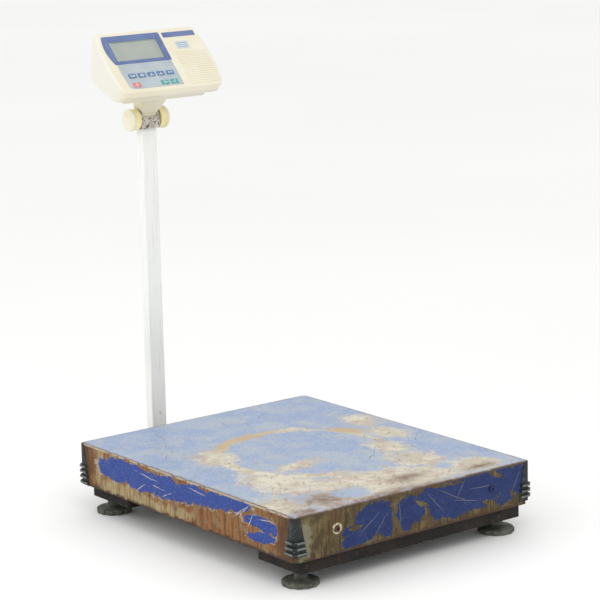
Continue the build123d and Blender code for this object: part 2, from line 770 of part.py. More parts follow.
def upper_case():
    """Front moulding: face with recesses and windows, sides, back and bosses."""
    with BuildPart() as case:
        add(rounded_head())
        add(head_block(CASE_WALL), mode=Mode.SUBTRACT)
        split(bisect_by=UNDER.offset(-SEAM), keep=Keep.BOTTOM)
        add(bezel_blank(0.15, BEZEL_RECESS, 6), mode=Mode.SUBTRACT)
        add(face_rectangle(grown(WINDOW, 1.5), 6, 10, 2), mode=Mode.SUBTRACT)
        add(panel_blank(0.15, PANEL_RECESS, 6), mode=Mode.SUBTRACT)
        add(panel_blank(-1.8, 6, 10), mode=Mode.SUBTRACT)
        with BuildSketch(FACE):
            count = 15
            pitch = (RIDGES[3] - RIDGES[2]) / (count - 1)
            for i in range(count):
                with Locations(((RIDGES[0] + RIDGES[1]) / 2, -(RIDGES[2] + i * pitch))):
                    SlotOverall(RIDGES[1] - RIDGES[0], 1.6)
        extrude(amount=-0.5, mode=Mode.SUBTRACT)
        with BuildSketch(INLET_PLANE.offset(1)):
            Circle(4.3)
        extrude(amount=-2 * CASE_WALL, mode=Mode.SUBTRACT)
        with BuildSketch(FACE.offset(-CASE_WALL + 0.2)):
            with Locations(*BOARD_POSTS):
                Circle(3)
        extrude(amount=-(BOARD_DEPTH - CASE_WALL + 0.2))
        with BuildSketch(FACE.offset(-BOARD_DEPTH)):
            with Locations(*BOARD_POSTS):
                Circle(1.5)
        extrude(amount=5, mode=Mode.SUBTRACT)
        for x, along in CASE_SCREWS:
            rib = 16.0
            with BuildSketch(UNDER.offset(-SEAM)):
                with Locations((x, -along)):
                    Circle(3.5)
                with Locations((x + (rib / 2 if x > 0 else -rib / 2), -along)):
                    Rectangle(rib, 2.4)
            extrude(amount=-18)
        add(head_block(0), mode=Mode.INTERSECT)
        with BuildSketch(UNDER.offset(-SEAM)):
            with Locations(*[(x, -along) for x, along in CASE_SCREWS]):
                Circle(1.5)
        extrude(amount=-12, mode=Mode.SUBTRACT)
    save(case, "upper_case")


def grown(area, by):
    """A face area grown on every side."""
    return (area[0] - by, area[1] + by, area[2] - by, area[3] + by)


def bezel_blank(gap, depth, thick):
    """Plate with the bezel's outline: straight but for its bowed left side."""
    x0, x1, s0, s1 = grown(BEZEL, gap)
    with BuildPart() as blank:
        with BuildSketch(FACE.offset(-depth)):
            with BuildLine():
                Polyline((x0, -s0), (x1, -s0), (x1, -s1), (x0 + 2, -s1))
                ThreePointArc((x0 + 2, -s1), (x0 - 5.5, -(s0 + s1) / 2 + 3), (x0, -s0))
            make_face()
            fillet(vertices(), 3)
        extrude(amount=thick)
    return blank.part


def display_bezel():
    """Slate-blue frame round the display, set in a recess of the face."""
    with BuildPart() as bezel:
        add(bezel_blank(0, BEZEL_RECESS, BEZEL_T))
        add(face_rectangle(grown(WINDOW, 0.1), BEZEL_RECESS + 1, 5, 1.2), mode=Mode.SUBTRACT)
    save(bezel, "display_bezel")


def display_pieces():
    """Clear window, and the liquid-crystal module behind it."""
    with BuildPart() as window:
        add(face_rectangle(WINDOW, BEZEL_RECESS, 1.2, 1.1))
    save(window, "display_window")
    with BuildPart() as module:
        add(face_rectangle(grown(WINDOW, 1.0), 7.5, 5.3, 1))
    save(module, "display_module")


def legend_strips():
    """Thin overlay strips on the face: under the display, and at the top right."""
    with BuildPart() as legend:
        add(face_rectangle(LEGEND, 0, 0.5, 1))
    save(legend, "legend_strip")
    with BuildPart() as name_strip:
        add(face_rectangle(NAME, 0, 0.5, 1))
    save(name_strip, "title_strip")


def panel_blank(gap, depth, thick):
    """Plate with the keypad's outline: its lower left corner is drawn in and round."""
    x0, x1, s0, s1 = grown(PANEL, gap)
    draw_in = 4.0
    with BuildPart() as blank:
        with BuildSketch(FACE.offset(-depth)):
            with BuildLine():
                Polyline((x0, -s0), (x1, -s0), (x1, -s1), (x0 + draw_in, -s1), close=True)
            make_face()
            fillet(vertices().sort_by(Axis.Y)[:2].sort_by(Axis.X)[0], 10)
            fillet(vertices().sort_by(Axis.X)[-2:], 2)
        extrude(amount=thick)
    return blank.part


def key_panel():
    """Keypad frame with one opening for each key."""
    with BuildPart() as panel:
        add(panel_blank(0, PANEL_RECESS, PANEL_T))
        with BuildSketch(FACE.offset(2)):
            for _, x, s in key_places():
                with Locations((x, -s)):
                    RectangleRounded(KEY_W + 2 * KEY_GAP, KEY_H + 2 * KEY_GAP, 1.6)
        extrude(amount=-5, mode=Mode.SUBTRACT)
    save(panel, "key_panel")


def key_cap(name, x, s):
    """One key: a low cap through the panel, held by a flange behind it."""
    cap_top = 1.1
    flange_top = -PANEL_RECESS - 0.1
    with BuildPart() as key:
        with BuildSketch(FACE.offset(flange_top - 1.0)):
            with Locations((x, -s)):
                RectangleRounded(KEY_W, KEY_H, 1.5)
        extrude(amount=cap_top - flange_top + 1.0)
        fillet(key.faces().sort_by(Axis(FACE_TOP, FACE.z_dir))[-1].edges(), 0.4)
        with BuildSketch(FACE.offset(flange_top)):
            with Locations((x, -s)):
                RectangleRounded(KEY_W + 2, KEY_H + 2, 1.5)
        extrude(amount=-1.0)
    save(key, name)


def main_board():
    """Circuit board behind the face, with a tact switch under every key."""
    with BuildPart() as board:
        with BuildSketch(FACE.offset(-BOARD_DEPTH)):
            with Locations((0, -68)):
                Rectangle(196, 108)
        extrude(amount=-1.6)
        with BuildSketch(FACE.offset(-BOARD_DEPTH)):
            for _, x, s in key_places():
                with Locations((x, -s)):
                    Rectangle(6, 6)
        extrude(amount=BOARD_DEPTH - PANEL_RECESS - 0.1 - 1.0 - KEY_TRAVEL - 0.3)
        with BuildSketch(FACE.offset(-BOARD_DEPTH - 1.6)):
            with Locations((-50, -70)):
                Rectangle(30, 22)
            with Locations((40, -60)):
                Rectangle(18, 40)
        extrude(amount=-5)
        with BuildSketch(FACE.offset(-BOARD_DEPTH + 1)):
            with Locations(*BOARD_POSTS):
                Circle(1.6)
        extrude(amount=-5, mode=Mode.SUBTRACT)
    save(board, "main_board")


def board_screws():
    """Screws through the board into the face's posts."""
    with BuildPart() as screws:
        with BuildSketch(FACE.offset(-BOARD_DEPTH - 1.6)):
            with Locations(*BOARD_POSTS):
                Circle(3)
        extrude(amount=-2)
        with BuildSketch(FACE.offset(-BOARD_DEPTH - 1.6)):
            with Locations(*BOARD_POSTS):
                Circle(1.4)
        extrude(amount=5)
    save(screws, "board_screws")


def power_inlet():
    """Barrel socket in the back wall for the adaptor's plug."""
    with BuildPart() as inlet:
        with BuildSketch(INLET_PLANE):
            Circle(6)
        extrude(amount=1.5)
        with BuildSketch(INLET_PLANE):
            Circle(4.2)
        extrude(amount=-12)
        with BuildSketch(INLET_PLANE.offset(1.5)):
            Circle(2.9)
            Circle(1.0, mode=Mode.SUBTRACT)
        extrude(amount=-10, mode=Mode.SUBTRACT)
    save(inlet, "power_inlet")


def lower_case():
    """Base moulding: closes the underside, with a narrower tub under it."""
    tub_len = UNDER_LEN - 8
    with BuildPart() as base:
        add(head_block(0))
        split(bisect_by=UNDER.offset(-SEAM), keep=Keep.TOP)
        with BuildSketch(UNDER):
            with Locations((0, -(tub_len / 2 + 2))):
                RectangleRounded(2 * TUB_HALF, tub_len, 6)
        extrude(amount=TUB_DEEP)
        fillet(base.faces().sort_by(Axis(UNDER.origin, UNDER.z_dir))[-1].edges(), 2.5)
        with BuildSketch(UNDER.offset(-SEAM - 1)):
            with Locations((0, -(tub_len / 2 + 2))):
                RectangleRounded(2 * TUB_HALF - 6, tub_len - 6, 4)
        extrude(amount=TUB_DEEP + SEAM + 1 - CASE_WALL, mode=Mode.SUBTRACT)
        with BuildSketch(UNDER):
            with Locations(*[(x, -along) for x, along in CASE_SCREWS]):
                Circle(1.6)
        extrude(amount=-SEAM, mode=Mode.SUBTRACT)
    save(base, "lower_case")


def tilt_bracket():
    """The neck: it flares up to the tub and ends in a round tongue in the yoke."""
    straight = 10.0
    flare_top = AXLE_Z + 33
    flare_y = COLUMN_Y - NECK_LEAN
    tub_face = UNDER.offset(TUB_DEEP)
    with BuildPart() as bracket:
        with BuildSketch(Plane.XY.offset(AXLE_Z)):
            with Locations((0, COLUMN_Y)):
                Rectangle(NECK_W, NECK_T)
        extrude(amount=straight)
        with BuildSketch(Plane.XY.offset(AXLE_Z + straight)):
            with Locations((0, COLUMN_Y)):
                Rectangle(NECK_W, NECK_T)
        with BuildSketch(Plane.XY.offset(flare_top)):
            with Locations((0, flare_y)):
                Rectangle(NECK_FLARE, NECK_T)
        loft()
        with BuildSketch(Plane.XY.offset(flare_top)):
            with Locations((0, flare_y)):
                Rectangle(NECK_FLARE, NECK_T)
        extrude(amount=60)
        split(bisect_by=tub_face, keep=Keep.TOP)
        with Locations(Location((0, COLUMN_Y, AXLE_Z), (0, 90, 0))):
            Cylinder(13, NECK_W)
        for side in (-1, 1):
            with Locations(Location((side * 18.6, COLUMN_Y, AXLE_Z), (0, 90, 0))):
                Cylinder(YOKE_R + 0.8, 6.4, mode=Mode.SUBTRACT)
            with Locations(Location((side * 36.6, COLUMN_Y, AXLE_Z), (0, 90, 0))):
                Cylinder(KNOB_R + 0.9, 30, mode=Mode.SUBTRACT)
        with Locations(Location((0, COLUMN_Y, AXLE_Z), (0, 90, 0))):
            Cylinder(AXLE_R + RUNNING, 2 * NECK_W, mode=Mode.SUBTRACT)
    save(bracket, "tilt_bracket")


def case_screws():
    """Screws up through the base moulding into the front moulding's bosses."""
    places = [(x, -along) for x, along in CASE_SCREWS]
    with BuildPart() as screws:
        with BuildSketch(UNDER):
            with Locations(*places):
                Circle(2.8)
        extrude(amount=1.4)
        with BuildSketch(UNDER):
            with Locations(*places):
                Circle(1.4)
        extrude(amount=-12)
    save(screws, "case_screws")


# ============================================================= build it all
tray_beam(BEAM_FRONT, "front_beam")
tray_beam(BEAM_REAR - BEAM_D, "rear_beam")
base_spine()
column_arm()
column_socket()
socket_bolts()
foot_nuts()
for foot_name, foot_x, foot_y in foot_positions():
    foot_stud(foot_name, foot_x, foot_y)
    foot_pad(foot_name, foot_x, foot_y)

load_cell()
cell_spacer(PAN_Y + 60, BASE_TOP, "cell_spacer_lower")
cell_spacer(PAN_Y - 60, CELL_Z + CELL[2], "cell_spacer_upper")
cell_bolts()
overload_stops()
upper_frame()
cover_cushions()
platform_cover()
cover_screws()

corner_guard(-1, -1, SKIRT_BOTTOM + FRONT_LEFT_CUT, FIN_Z[:3], "corner_guard_front_left")
corner_guard(1, -1, SKIRT_BOTTOM + FRONT_RIGHT_CUT, FIN_Z[:3], "corner_guard_front_right")
corner_guard(-1, 1, SKIRT_BOTTOM, FIN_Z, "corner_guard_rear_left")
corner_guard(1, 1, SKIRT_BOTTOM, FIN_Z, "corner_guard_rear_right")

column()
tilt_yoke()
yoke_screws()
tilt_axle()
clamp_knob(-1, "clamp_knob_left")
clamp_knob(1, "clamp_knob_right")
load_cell_cable()

upper_case()
lower_case()
tilt_bracket()
case_screws()
display_bezel()
display_pieces()
legend_strips()
key_panel()
for key_name, key_x, key_s in key_places():
    key_cap(key_name, key_x, key_s)
main_board()
board_screws()
power_inlet()
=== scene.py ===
from math import cos, pi, radians, sin, sqrt
from types import SimpleNamespace

import bmesh
import bpy
from mathutils import Matrix, Vector


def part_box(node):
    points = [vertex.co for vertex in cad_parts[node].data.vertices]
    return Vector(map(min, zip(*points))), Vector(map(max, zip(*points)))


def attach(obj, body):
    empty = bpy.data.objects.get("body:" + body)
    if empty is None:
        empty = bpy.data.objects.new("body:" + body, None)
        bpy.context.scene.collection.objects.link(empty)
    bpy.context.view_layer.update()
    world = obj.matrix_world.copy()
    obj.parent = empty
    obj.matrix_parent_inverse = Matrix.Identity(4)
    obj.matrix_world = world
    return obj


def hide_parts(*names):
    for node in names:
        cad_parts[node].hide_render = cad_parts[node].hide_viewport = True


# Bench scale, looks only: the CAD frame stays as packed, and this script gives
# it materials, adds small detail pieces, lights it and sets up the camera.
# Everything is in metres, in the CAD model's own frame.

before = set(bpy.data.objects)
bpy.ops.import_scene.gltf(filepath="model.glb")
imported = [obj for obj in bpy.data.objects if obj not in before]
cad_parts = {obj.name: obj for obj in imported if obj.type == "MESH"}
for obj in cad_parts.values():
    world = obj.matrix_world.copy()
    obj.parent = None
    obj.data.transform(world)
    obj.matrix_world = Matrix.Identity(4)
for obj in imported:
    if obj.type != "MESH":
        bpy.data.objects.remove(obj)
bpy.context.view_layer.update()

COVER_LOW, COVER_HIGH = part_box("platform_cover")
COVER_MID = Vector((0, (COVER_LOW.y + COVER_HIGH.y) / 2, COVER_HIGH.z))
COVER_HALF = Vector(((COVER_HIGH.x - COVER_LOW.x) / 2, (COVER_HIGH.y - COVER_LOW.y) / 2, 0))
SKIRT = COVER_HIGH.z - COVER_LOW.z
AXLE_LOW, AXLE_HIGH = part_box("tilt_axle")
AXLE = (AXLE_LOW + AXLE_HIGH) / 2

# The indicator's face: its top edge from the tilt axle, its slope and directions.
FACE_TOP = AXLE + Vector((0, -0.0042, 0.1609))
FACE_TILT = radians(47)
FACE_NORMAL = Vector((0, -sin(FACE_TILT), cos(FACE_TILT)))
FACE_DOWN = Vector((0, -cos(FACE_TILT), -sin(FACE_TILT)))


def srgb(red, green, blue):
    """A colour given as 0 to 255 on screen, in the linear values that nodes use."""
    def linear(value):
        share = value / 255
        return share / 12.92 if share <= 0.04045 else ((share + 0.055) / 1.055) ** 2.4
    return (linear(red), linear(green), linear(blue), 1.0)


# ================================================================== camera
CAMERA_FROM_COVER = Vector((-2.4244, -3.1618, 1.1006))


def add_camera():
    """The photograph's view: a long lens, low, from the front left."""
    azimuth, dip, roll = radians(-37.57), radians(11.84), radians(1.3155)
    back = Vector((sin(azimuth) * cos(dip), -cos(azimuth) * cos(dip), sin(dip)))
    right = (-back).cross(Vector((0, 0, 1))).normalized()
    down = (-back).cross(right)
    across = cos(roll) * right + sin(roll) * down
    below = -sin(roll) * right + cos(roll) * down
    data = bpy.data.cameras.new("camera")
    data.sensor_width = 36.0
    data.lens = 143.8
    data.clip_start, data.clip_end = 0.1, 60.0
    camera = bpy.data.objects.new("camera", data)
    turn = Matrix((across, -below, back)).transposed().to_4x4()
    place = COVER_MID + CAMERA_FROM_COVER
    camera.matrix_world = Matrix.Translation(place) @ turn
    bpy.context.scene.collection.objects.link(camera)
    bpy.context.scene.camera = camera


# ============================================================ light, floor
def add_studio():
    """Pale floor, bright even surroundings and two large soft lights."""
    mesh = bpy.data.meshes.new("floor")
    reach, level = 14.0, -0.0004
    corners = [(-reach, -reach, level), (reach, -reach, level), (reach, reach, level), (-reach, reach, level)]
    mesh.from_pydata(corners, [], [(0, 1, 2, 3)])
    floor = bpy.data.objects.new("floor", mesh)
    bpy.context.scene.collection.objects.link(floor)
    shade = Shade("floor_paper", roughness=0.9)
    shade.colour(shade.mix(shade.noise(0.6, 2), srgb(240, 240, 239), srgb(247, 247, 246)))
    mesh.materials.append(shade.material)

    world = bpy.data.worlds.new("studio")
    bpy.context.scene.world = world
    world.use_nodes = True
    background = world.node_tree.nodes["Background"]
    background.inputs["Color"].default_value = (1.0, 1.0, 1.0, 1.0)
    background.inputs["Strength"].default_value = 1.02
    bpy.context.scene.view_settings.view_transform = "Standard"

    def softbox(name, place, aim, size, watts):
        data = bpy.data.lights.new(name, "AREA")
        data.shape = "RECTANGLE"
        data.size, data.size_y = size
        data.energy = watts
        light = bpy.data.objects.new(name, data)
        light.location = place
        light.rotation_mode = "QUATERNION"
        light.rotation_quaternion = (Vector(aim) - Vector(place)).to_track_quat("-Z", "Y")
        bpy.context.scene.collection.objects.link(light)

    softbox("key_light", (-1.2, -2.4, 2.8), (0, 0, 0.3), (2.4, 2.0), 26)
    softbox("fill_light", (-2.8, 0.4, 1.6), (0, 0, 0.3), (2.0, 2.0), 14)


# ========================================================= material helper
class Shade:
    """Builds one material's nodes. Inputs may be sockets, numbers or colours."""

    def __init__(self, name, roughness=0.5, metallic=0.0, specular=0.5):
        self.material = bpy.data.materials.new(name)
        self.material.use_nodes = True
        self.tree = self.material.node_tree
        self.tree.nodes.clear()
        self.shader = self.tree.nodes.new("ShaderNodeBsdfPrincipled")
        output = self.tree.nodes.new("ShaderNodeOutputMaterial")
        self.tree.links.new(self.shader.outputs[0], output.inputs[0])
        self.shader.inputs["Roughness"].default_value = roughness
        self.shader.inputs["Metallic"].default_value = metallic
        self.shader.inputs["Specular IOR Level"].default_value = specular
        self.place = self.tree.nodes.new("ShaderNodeTexCoord").outputs["Object"]

    def put(self, socket, value):
        """Link a socket, or set a plain value."""
        if isinstance(value, bpy.types.NodeSocket):
            self.tree.links.new(value, socket)
        else:
            socket.default_value = value

    def set(self, name, value):
        self.put(self.shader.inputs[name], value)

    def colour(self, value):
        self.set("Base Color", value)

    def math(self, operation, first, second=0.0):
        node = self.tree.nodes.new("ShaderNodeMath")
        node.operation = operation
        self.put(node.inputs[0], first)
        self.put(node.inputs[1], second)
        return node.outputs[0]

    def plus(self, first, second):
        return self.math("ADD", first, second)

    def minus(self, first, second):
        return self.math("SUBTRACT", first, second)

    def times(self, first, second):
        return self.math("MULTIPLY", first, second)

    def highest(self, first, second):
        return self.math("MAXIMUM", first, second)

    def lowest(self, first, second):
        return self.math("MINIMUM", first, second)

    def absolute(self, value):
        return self.math("ABSOLUTE", value)

    def wobble(self, noise, size):
        """A noise that swings about 0 instead of 0.5, times a size."""
        return self.times(self.minus(noise, 0.5), size)

    def vector(self, operation, first, second=(0, 0, 0)):
        node = self.tree.nodes.new("ShaderNodeVectorMath")
        node.operation = operation
        self.put(node.inputs[0], first)
        if operation == "SCALE":
            self.put(node.inputs["Scale"], second)
        else:
            self.put(node.inputs[1], second)
        return node.outputs["Value"] if operation == "LENGTH" else node.outputs[0]

    def split(self, vector):
        node = self.tree.nodes.new("ShaderNodeSeparateXYZ")
        self.put(node.inputs[0], vector)
        return node.outputs[0], node.outputs[1], node.outputs[2]

    def join(self, x, y, z=0.0):
        node = self.tree.nodes.new("ShaderNodeCombineXYZ")
        for socket, value in zip(node.inputs, (x, y, z)):
            self.put(socket, value)
        return node.outputs[0]

    def step(self, value, low, high):
        """0 below low, 1 above high, smooth between; falling if low is above high."""
        node = self.tree.nodes.new("ShaderNodeMapRange")
        node.interpolation_type = "SMOOTHSTEP"
        self.put(node.inputs["Value"], value)
        if low > high:
            node.inputs["From Min"].default_value = high
            node.inputs["From Max"].default_value = low
            node.inputs["To Min"].default_value = 1.0
            node.inputs["To Max"].default_value = 0.0
        else:
            node.inputs["From Min"].default_value = low
            node.inputs["From Max"].default_value = high
        return node.outputs[0]

    def noise(self, scale, detail=3.0, at=None, rough=0.55):
        node = self.tree.nodes.new("ShaderNodeTexNoise")
        self.put(node.inputs["Vector"], self.place if at is None else at)
        node.inputs["Scale"].default_value = scale
        node.inputs["Detail"].default_value = detail
        node.inputs["Roughness"].default_value = rough
        return node.outputs[0]

    def cells(self, scale):
        """The distance to the nearest of many scattered points."""
        node = self.tree.nodes.new("ShaderNodeTexVoronoi")
        self.put(node.inputs["Vector"], self.place)
        node.inputs["Scale"].default_value = scale
        return node.outputs["Distance"]

    def mix(self, share, first, second):
        node = self.tree.nodes.new("ShaderNodeMix")
        node.data_type = "RGBA"
        self.put(node.inputs[0], share)
        self.put(node.inputs[6], first)
        self.put(node.inputs[7], second)
        return node.outputs[2]

    def coats(self, base, coats):
        """Colours laid over a base, each where a field rises: (field, low, high, colour)."""
        for field, low, high, colour in coats:
            base = self.mix(self.step(field, low, high), base, srgb(*colour))
        return base

    def tint(self, base, share, strength, colour):
        """A colour laid over a base at a strength, where the share is above 0."""
        return self.mix(self.times(share, strength), base, srgb(*colour))

    def blend(self, share, first, second):
        """Like mix, for plain numbers."""
        node = self.tree.nodes.new("ShaderNodeMix")
        node.data_type = "FLOAT"
        self.put(node.inputs[0], share)
        self.put(node.inputs[2], first)
        self.put(node.inputs[3], second)
        return node.outputs[0]

    def mapped(self, vector, centre=(0, 0, 0), size=(1, 1, 1), angle=0.0):
        """The vector as seen from a centre, turned by an angle and divided by a size."""
        node = self.tree.nodes.new("ShaderNodeMapping")
        node.vector_type = "TEXTURE"
        self.put(node.inputs["Vector"], vector)
        node.inputs["Location"].default_value = centre
        node.inputs["Rotation"].default_value = (0, 0, radians(angle))
        node.inputs["Scale"].default_value = size
        return node.outputs[0]

    def patch(self, plane, centre, radii, angle=0.0):
        """1 at the middle of an ellipse, 0 on its outline, negative outside. Millimetres."""
        seen = self.mapped(
            plane,
            (centre[0] / 1000, centre[1] / 1000, 0),
            (radii[0] / 1000, radii[1] / 1000, 1),
            angle,
        )
        return self.minus(1.0, self.vector("LENGTH", seen))

    def any_of(self, plane, patches):
        """The union of patches, each (x, y, radius x, radius y, angle)."""
        found = None
        for x, y, wide, high, angle in patches:
            one = self.patch(plane, (x, y), (wide, high), angle)
            found = one if found is None else self.highest(found, one)
        return found

    def scratches(self, plane, marks, width):
        """Thin straight scratches, each (x, y, length, angle), in millimetres."""
        found = None
        for x, y, length, angle in marks:
            one = self.step(self.patch(plane, (x, y), (length / 2, width), angle), 0.0, 0.5)
            found = one if found is None else self.highest(found, one)
        return found

    def streaks(self, plane, angle, length, width, rare):
        """Many fine straight marks one way: stretched noise, cut off high. Metres."""
        seen = self.mapped(plane, size=(length, width, 1), angle=angle)
        return self.step(self.noise(1.0, 3, at=seen, rough=0.6), rare, rare + 0.05)

    def bump(self, height, distance, strength=1.0):
        node = self.tree.nodes.new("ShaderNodeBump")
        node.inputs["Strength"].default_value = strength
        node.inputs["Distance"].default_value = distance
        self.put(node.inputs["Height"], height)
        self.set("Normal", node.outputs[0])


def give(shade, *nodes):
    """Put one material on CAD nodes, in every slot."""
    for name in nodes:
        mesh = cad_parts[name].data
        if mesh.materials:
            for i in range(len(mesh.materials)):
                mesh.materials[i] = shade.material
        else:
            mesh.materials.append(shade.material)


# ===================================================== the worn blue cover
# Patches are ellipses in millimetres: middle x, middle y, radii, angle.
# Scratches are middle x, middle y, length, angle.
# On the top, x and y run from the cover's middle, +y away from the operator.
TOP_BARE = [
    (-138, 62, 40, 56, -20),
    (-145, -140, 62, 92, 8),
    (-20, -258, 250, 66, 2),
    (-40, -205, 150, 48, -6),
    (118, -178, 48, 62, 10),
    (132, -82, 34, 52, 10),
    (207, 90, 34, 46, -20),
    (192, -5, 34, 52, 15),
    (66, 124, 40, 14, -14),
    (146, 46, 18, 40, 20),
    (-60, -70, 52, 22, 10),
    (165, -262, 66, 42, 0),
    (-222, -250, 44, 62, 0),
]
TOP_BLUE = [
    (-92, -254, 30, 26, 12),
    (122, -234, 17, 15, 30),
    (210, -150, 34, 72, -12),
    (232, -240, 20, 50, 0),
    (-226, -128, 26, 50, -8),
    (30, -150, 42, 30, 0),
]
TOP_BROWN = [
    (-150, -256, 56, 44, -10),
    (-60, -300, 190, 18, 0),
    (-214, -290, 40, 22, 0),
    (30, -246, 44, 22, 10),
    (170, -278, 40, 16, 0),
]
TOP_TAN = [
    (-20, 134, 70, 20, 0),
    (-84, 112, 34, 20, 34),
    (146, 60, 22, 44, 20),
]
TOP_DARK_SCRATCHES = [
    (-128, 238, 80, 78),
    (-150, 190, 70, 60),
    (-164, 150, 54, 66),
    (8, 236, 60, 76),
    (38, 200, 50, 80),
    (-196, 120, 60, 56),
    (100, 240, 70, 30),
    (176, 250, 60, 34),
    (84, -96, 120, 42),
    (214, -60, 90, 44),
]
# The ring that drums wore: middle x, middle y, radius, width.
RING = (0, -12, 148, 16)

# On a side, x runs along it from the end that is at the left in this list's
# own view, and y is the depth below the top face.
LONG_BLUE = [
    (112, 27, 58, 21, -2),
    (180, 30, 66, 20, 3),
    (262, 27, 80, 20, -1),
    (340, 22, 64, 17, -3),
    (410, 17, 56, 15, -5),
    (462, 13, 40, 12, -8),
    (150, 14, 78, 9, 0),
    (522, 27, 42, 11, -4),
    (548, 31, 26, 12, 0),
    (524, 52, 40, 8, -6),
]
LONG_TAN = [
    (112, 62, 74, 20, 0),
    (58, 46, 14, 34, 0),
    (205, 66, 66, 12, 0),
    (66, 10, 12, 20, 0),
    (300, 62, 50, 10, 0),
]
LONG_SCRATCHES = [
    (205, 19, 90, 4),
    (235, 31, 60, 3),
    (265, 38, 40, -22),
    (186, 42, 40, -30),
    (352, 14, 60, 5),
    (470, 22, 60, -32),
    (484, 16, 44, -40),
    (452, 27, 50, -14),
    (498, 32, 44, -62),
    (540, 20, 60, -8),
]
SHORT_BLUE = [
    (160, 28, 40, 24, -10),
    (132, 58, 42, 13, -8),
    (186, 40, 22, 28, 0),
    (236, 38, 30, 32, 4),
    (300, 32, 62, 34, 6),
    (370, 30, 70, 32, 4),
    (430, 24, 60, 28, 0),
    (470, 26, 26, 26, 0),
    (440, 56, 24, 9, -8),
    (390, 52, 34, 12, 0),
    (330, 56, 34, 12, 0),
    (112, 44, 16, 8, 10),
]
SHORT_BARE = [
    (203, 24, 3.5, 30, 2),
    (207, 66, 10, 14, 0),
    (262, 28, 16, 4, 34),
    (250, 66, 14, 9, 0),
    (278, 52, 6, 14, -40),
    (124, 40, 16, 4, -6),
    (424, 10, 14, 4, 28),
    (412, 56, 16, 6, 24),
    (300, 5, 60, 2.5, 4),
]
SHORT_SCRATCHES = [
    (290, 30, 70, 48),
    (330, 28, 100, 26),
    (360, 42, 70, 12),
    (346, 22, 54, -58),
    (215, 34, 50, 84),
    (150, 40, 70, -34),
    (175, 46, 60, -48),
    (470, 30, 50, -62),
    (396, 26, 80, 4),
]
# Around the cover's screws: distance from the short side's end, colour, strength.
SCREW_HALOS = [
    (85, (190, 182, 156), 1.0),
    (415, (16, 26, 62), 0.7),
]
SCREW_DEPTH = 33.5


def past_outline(shade, x, y):
    """How far a place is past the cover's outline, in metres."""
    return shade.highest(shade.minus(shade.absolute(x), COVER_HALF.x),
                         shade.minus(shade.absolute(y), COVER_HALF.y))


def cover_fields(shade):
    """Places on the cover, plain and shaken by noise, and the noises its parts share."""
    local = shade.vector("SUBTRACT", shade.place, COVER_MID)
    drift = shade.tree.nodes.new("ShaderNodeTexNoise")
    drift.inputs["Scale"].default_value = 42.0
    drift.inputs["Detail"].default_value = 5.0
    shade.put(drift.inputs["Vector"], shade.place)
    shift = shade.vector("SUBTRACT", drift.outputs["Color"], (0.5, 0.5, 0.5))
    shaken = shade.vector("ADD", local, shade.vector("SCALE", shift, 0.020))
    field = SimpleNamespace(local=local, shift=shift)
    field.fine = shade.noise(260, 4)
    field.mid = shade.noise(70, 5, rough=0.62)
    field.large = shade.noise(13, 4)
    field.x, field.y, field.z = shade.split(local)
    field.shaken_x, field.shaken_y, field.shaken_z = shade.split(shaken)
    field.on_top = shade.step(field.z, -0.0026, -0.0008)
    field.ragged = shade.wobble(field.mid, 1.5)
    return field


def bare_on_top(shade, field, plane, smear):
    """Where the top's blue is worn off: the ring of the drums and the bare patches."""
    ring_x, ring_y, ring_radius, ring_width = (value / 1000 for value in RING)
    spread = shade.vector("LENGTH", shade.mapped(plane, (ring_x, ring_y, 0)))
    off_ring = shade.absolute(shade.minus(spread, ring_radius))
    ring = shade.minus(1.0, shade.math("DIVIDE", off_ring, ring_width))
    left_share = shade.step(field.shaken_x, 0.10, -0.02)
    ring = shade.minus(ring, shade.blend(left_share, 0.55, 0.10))
    bare = shade.highest(ring, shade.any_of(plane, TOP_BARE))
    bare = shade.lowest(bare, shade.times(shade.any_of(plane, TOP_BLUE), -1.0))
    bare = shade.plus(bare, field.ragged)
    bare = shade.plus(bare, shade.wobble(field.fine, 0.7))
    bare = shade.plus(bare, shade.wobble(smear, 1.3))
    return shade.step(bare, -0.28, 0.46)


def top_wear_and_glare(shade, field):
    """The top's colour, and where it is bare: faded blue paled further by painted glare, cream wear, dirt and
    chips.
    """
    plane = shade.join(field.shaken_x, field.shaken_y)
    smear = shade.noise(1.0, 5, at=shade.mapped(shade.place, size=(0.030, 0.009, 1), angle=52), rough=0.7)
    bare = bare_on_top(shade, field, plane, smear)
    soft = shade.noise(28, 6, rough=0.7)
    # The top's pale blue is faded enamel, lightened further as painted glare from above.
    blue = shade.coats(srgb(128, 148, 184), [
        (field.large, 0.40, 0.66, (150, 165, 184)),
        (soft, 0.46, 0.66, (158, 166, 176)),
        (field.fine, 0.50, 0.72, (172, 182, 192)),
        (smear, 0.56, 0.70, (136, 144, 162)),
    ])
    cream = shade.coats(srgb(208, 202, 184), [
        (soft, 0.40, 0.62, (188, 178, 160)),
        (shade.noise(24, 3), 0.54, 0.70, (182, 162, 150)),
        (field.fine, 0.58, 0.70, (166, 162, 160)),
        (smear, 0.54, 0.68, (162, 150, 136)),
    ])
    tan_arc = shade.plus(shade.any_of(plane, TOP_TAN), field.ragged)
    cream = shade.coats(cream, [(tan_arc, -0.6, 0.9, (186, 164, 132))])
    brown = shade.plus(shade.any_of(plane, TOP_BROWN), field.ragged)
    cream = shade.coats(cream, [(brown, -0.4, 1.1, (128, 108, 94))])
    top = shade.mix(bare, blue, cream)
    edge = shade.plus(past_outline(shade, field.x, field.y), shade.wobble(field.mid, 0.012))
    top = shade.coats(top, [(edge, -0.0065, -0.001, (112, 92, 78))])
    return marked_top(shade, field, plane, top), bare


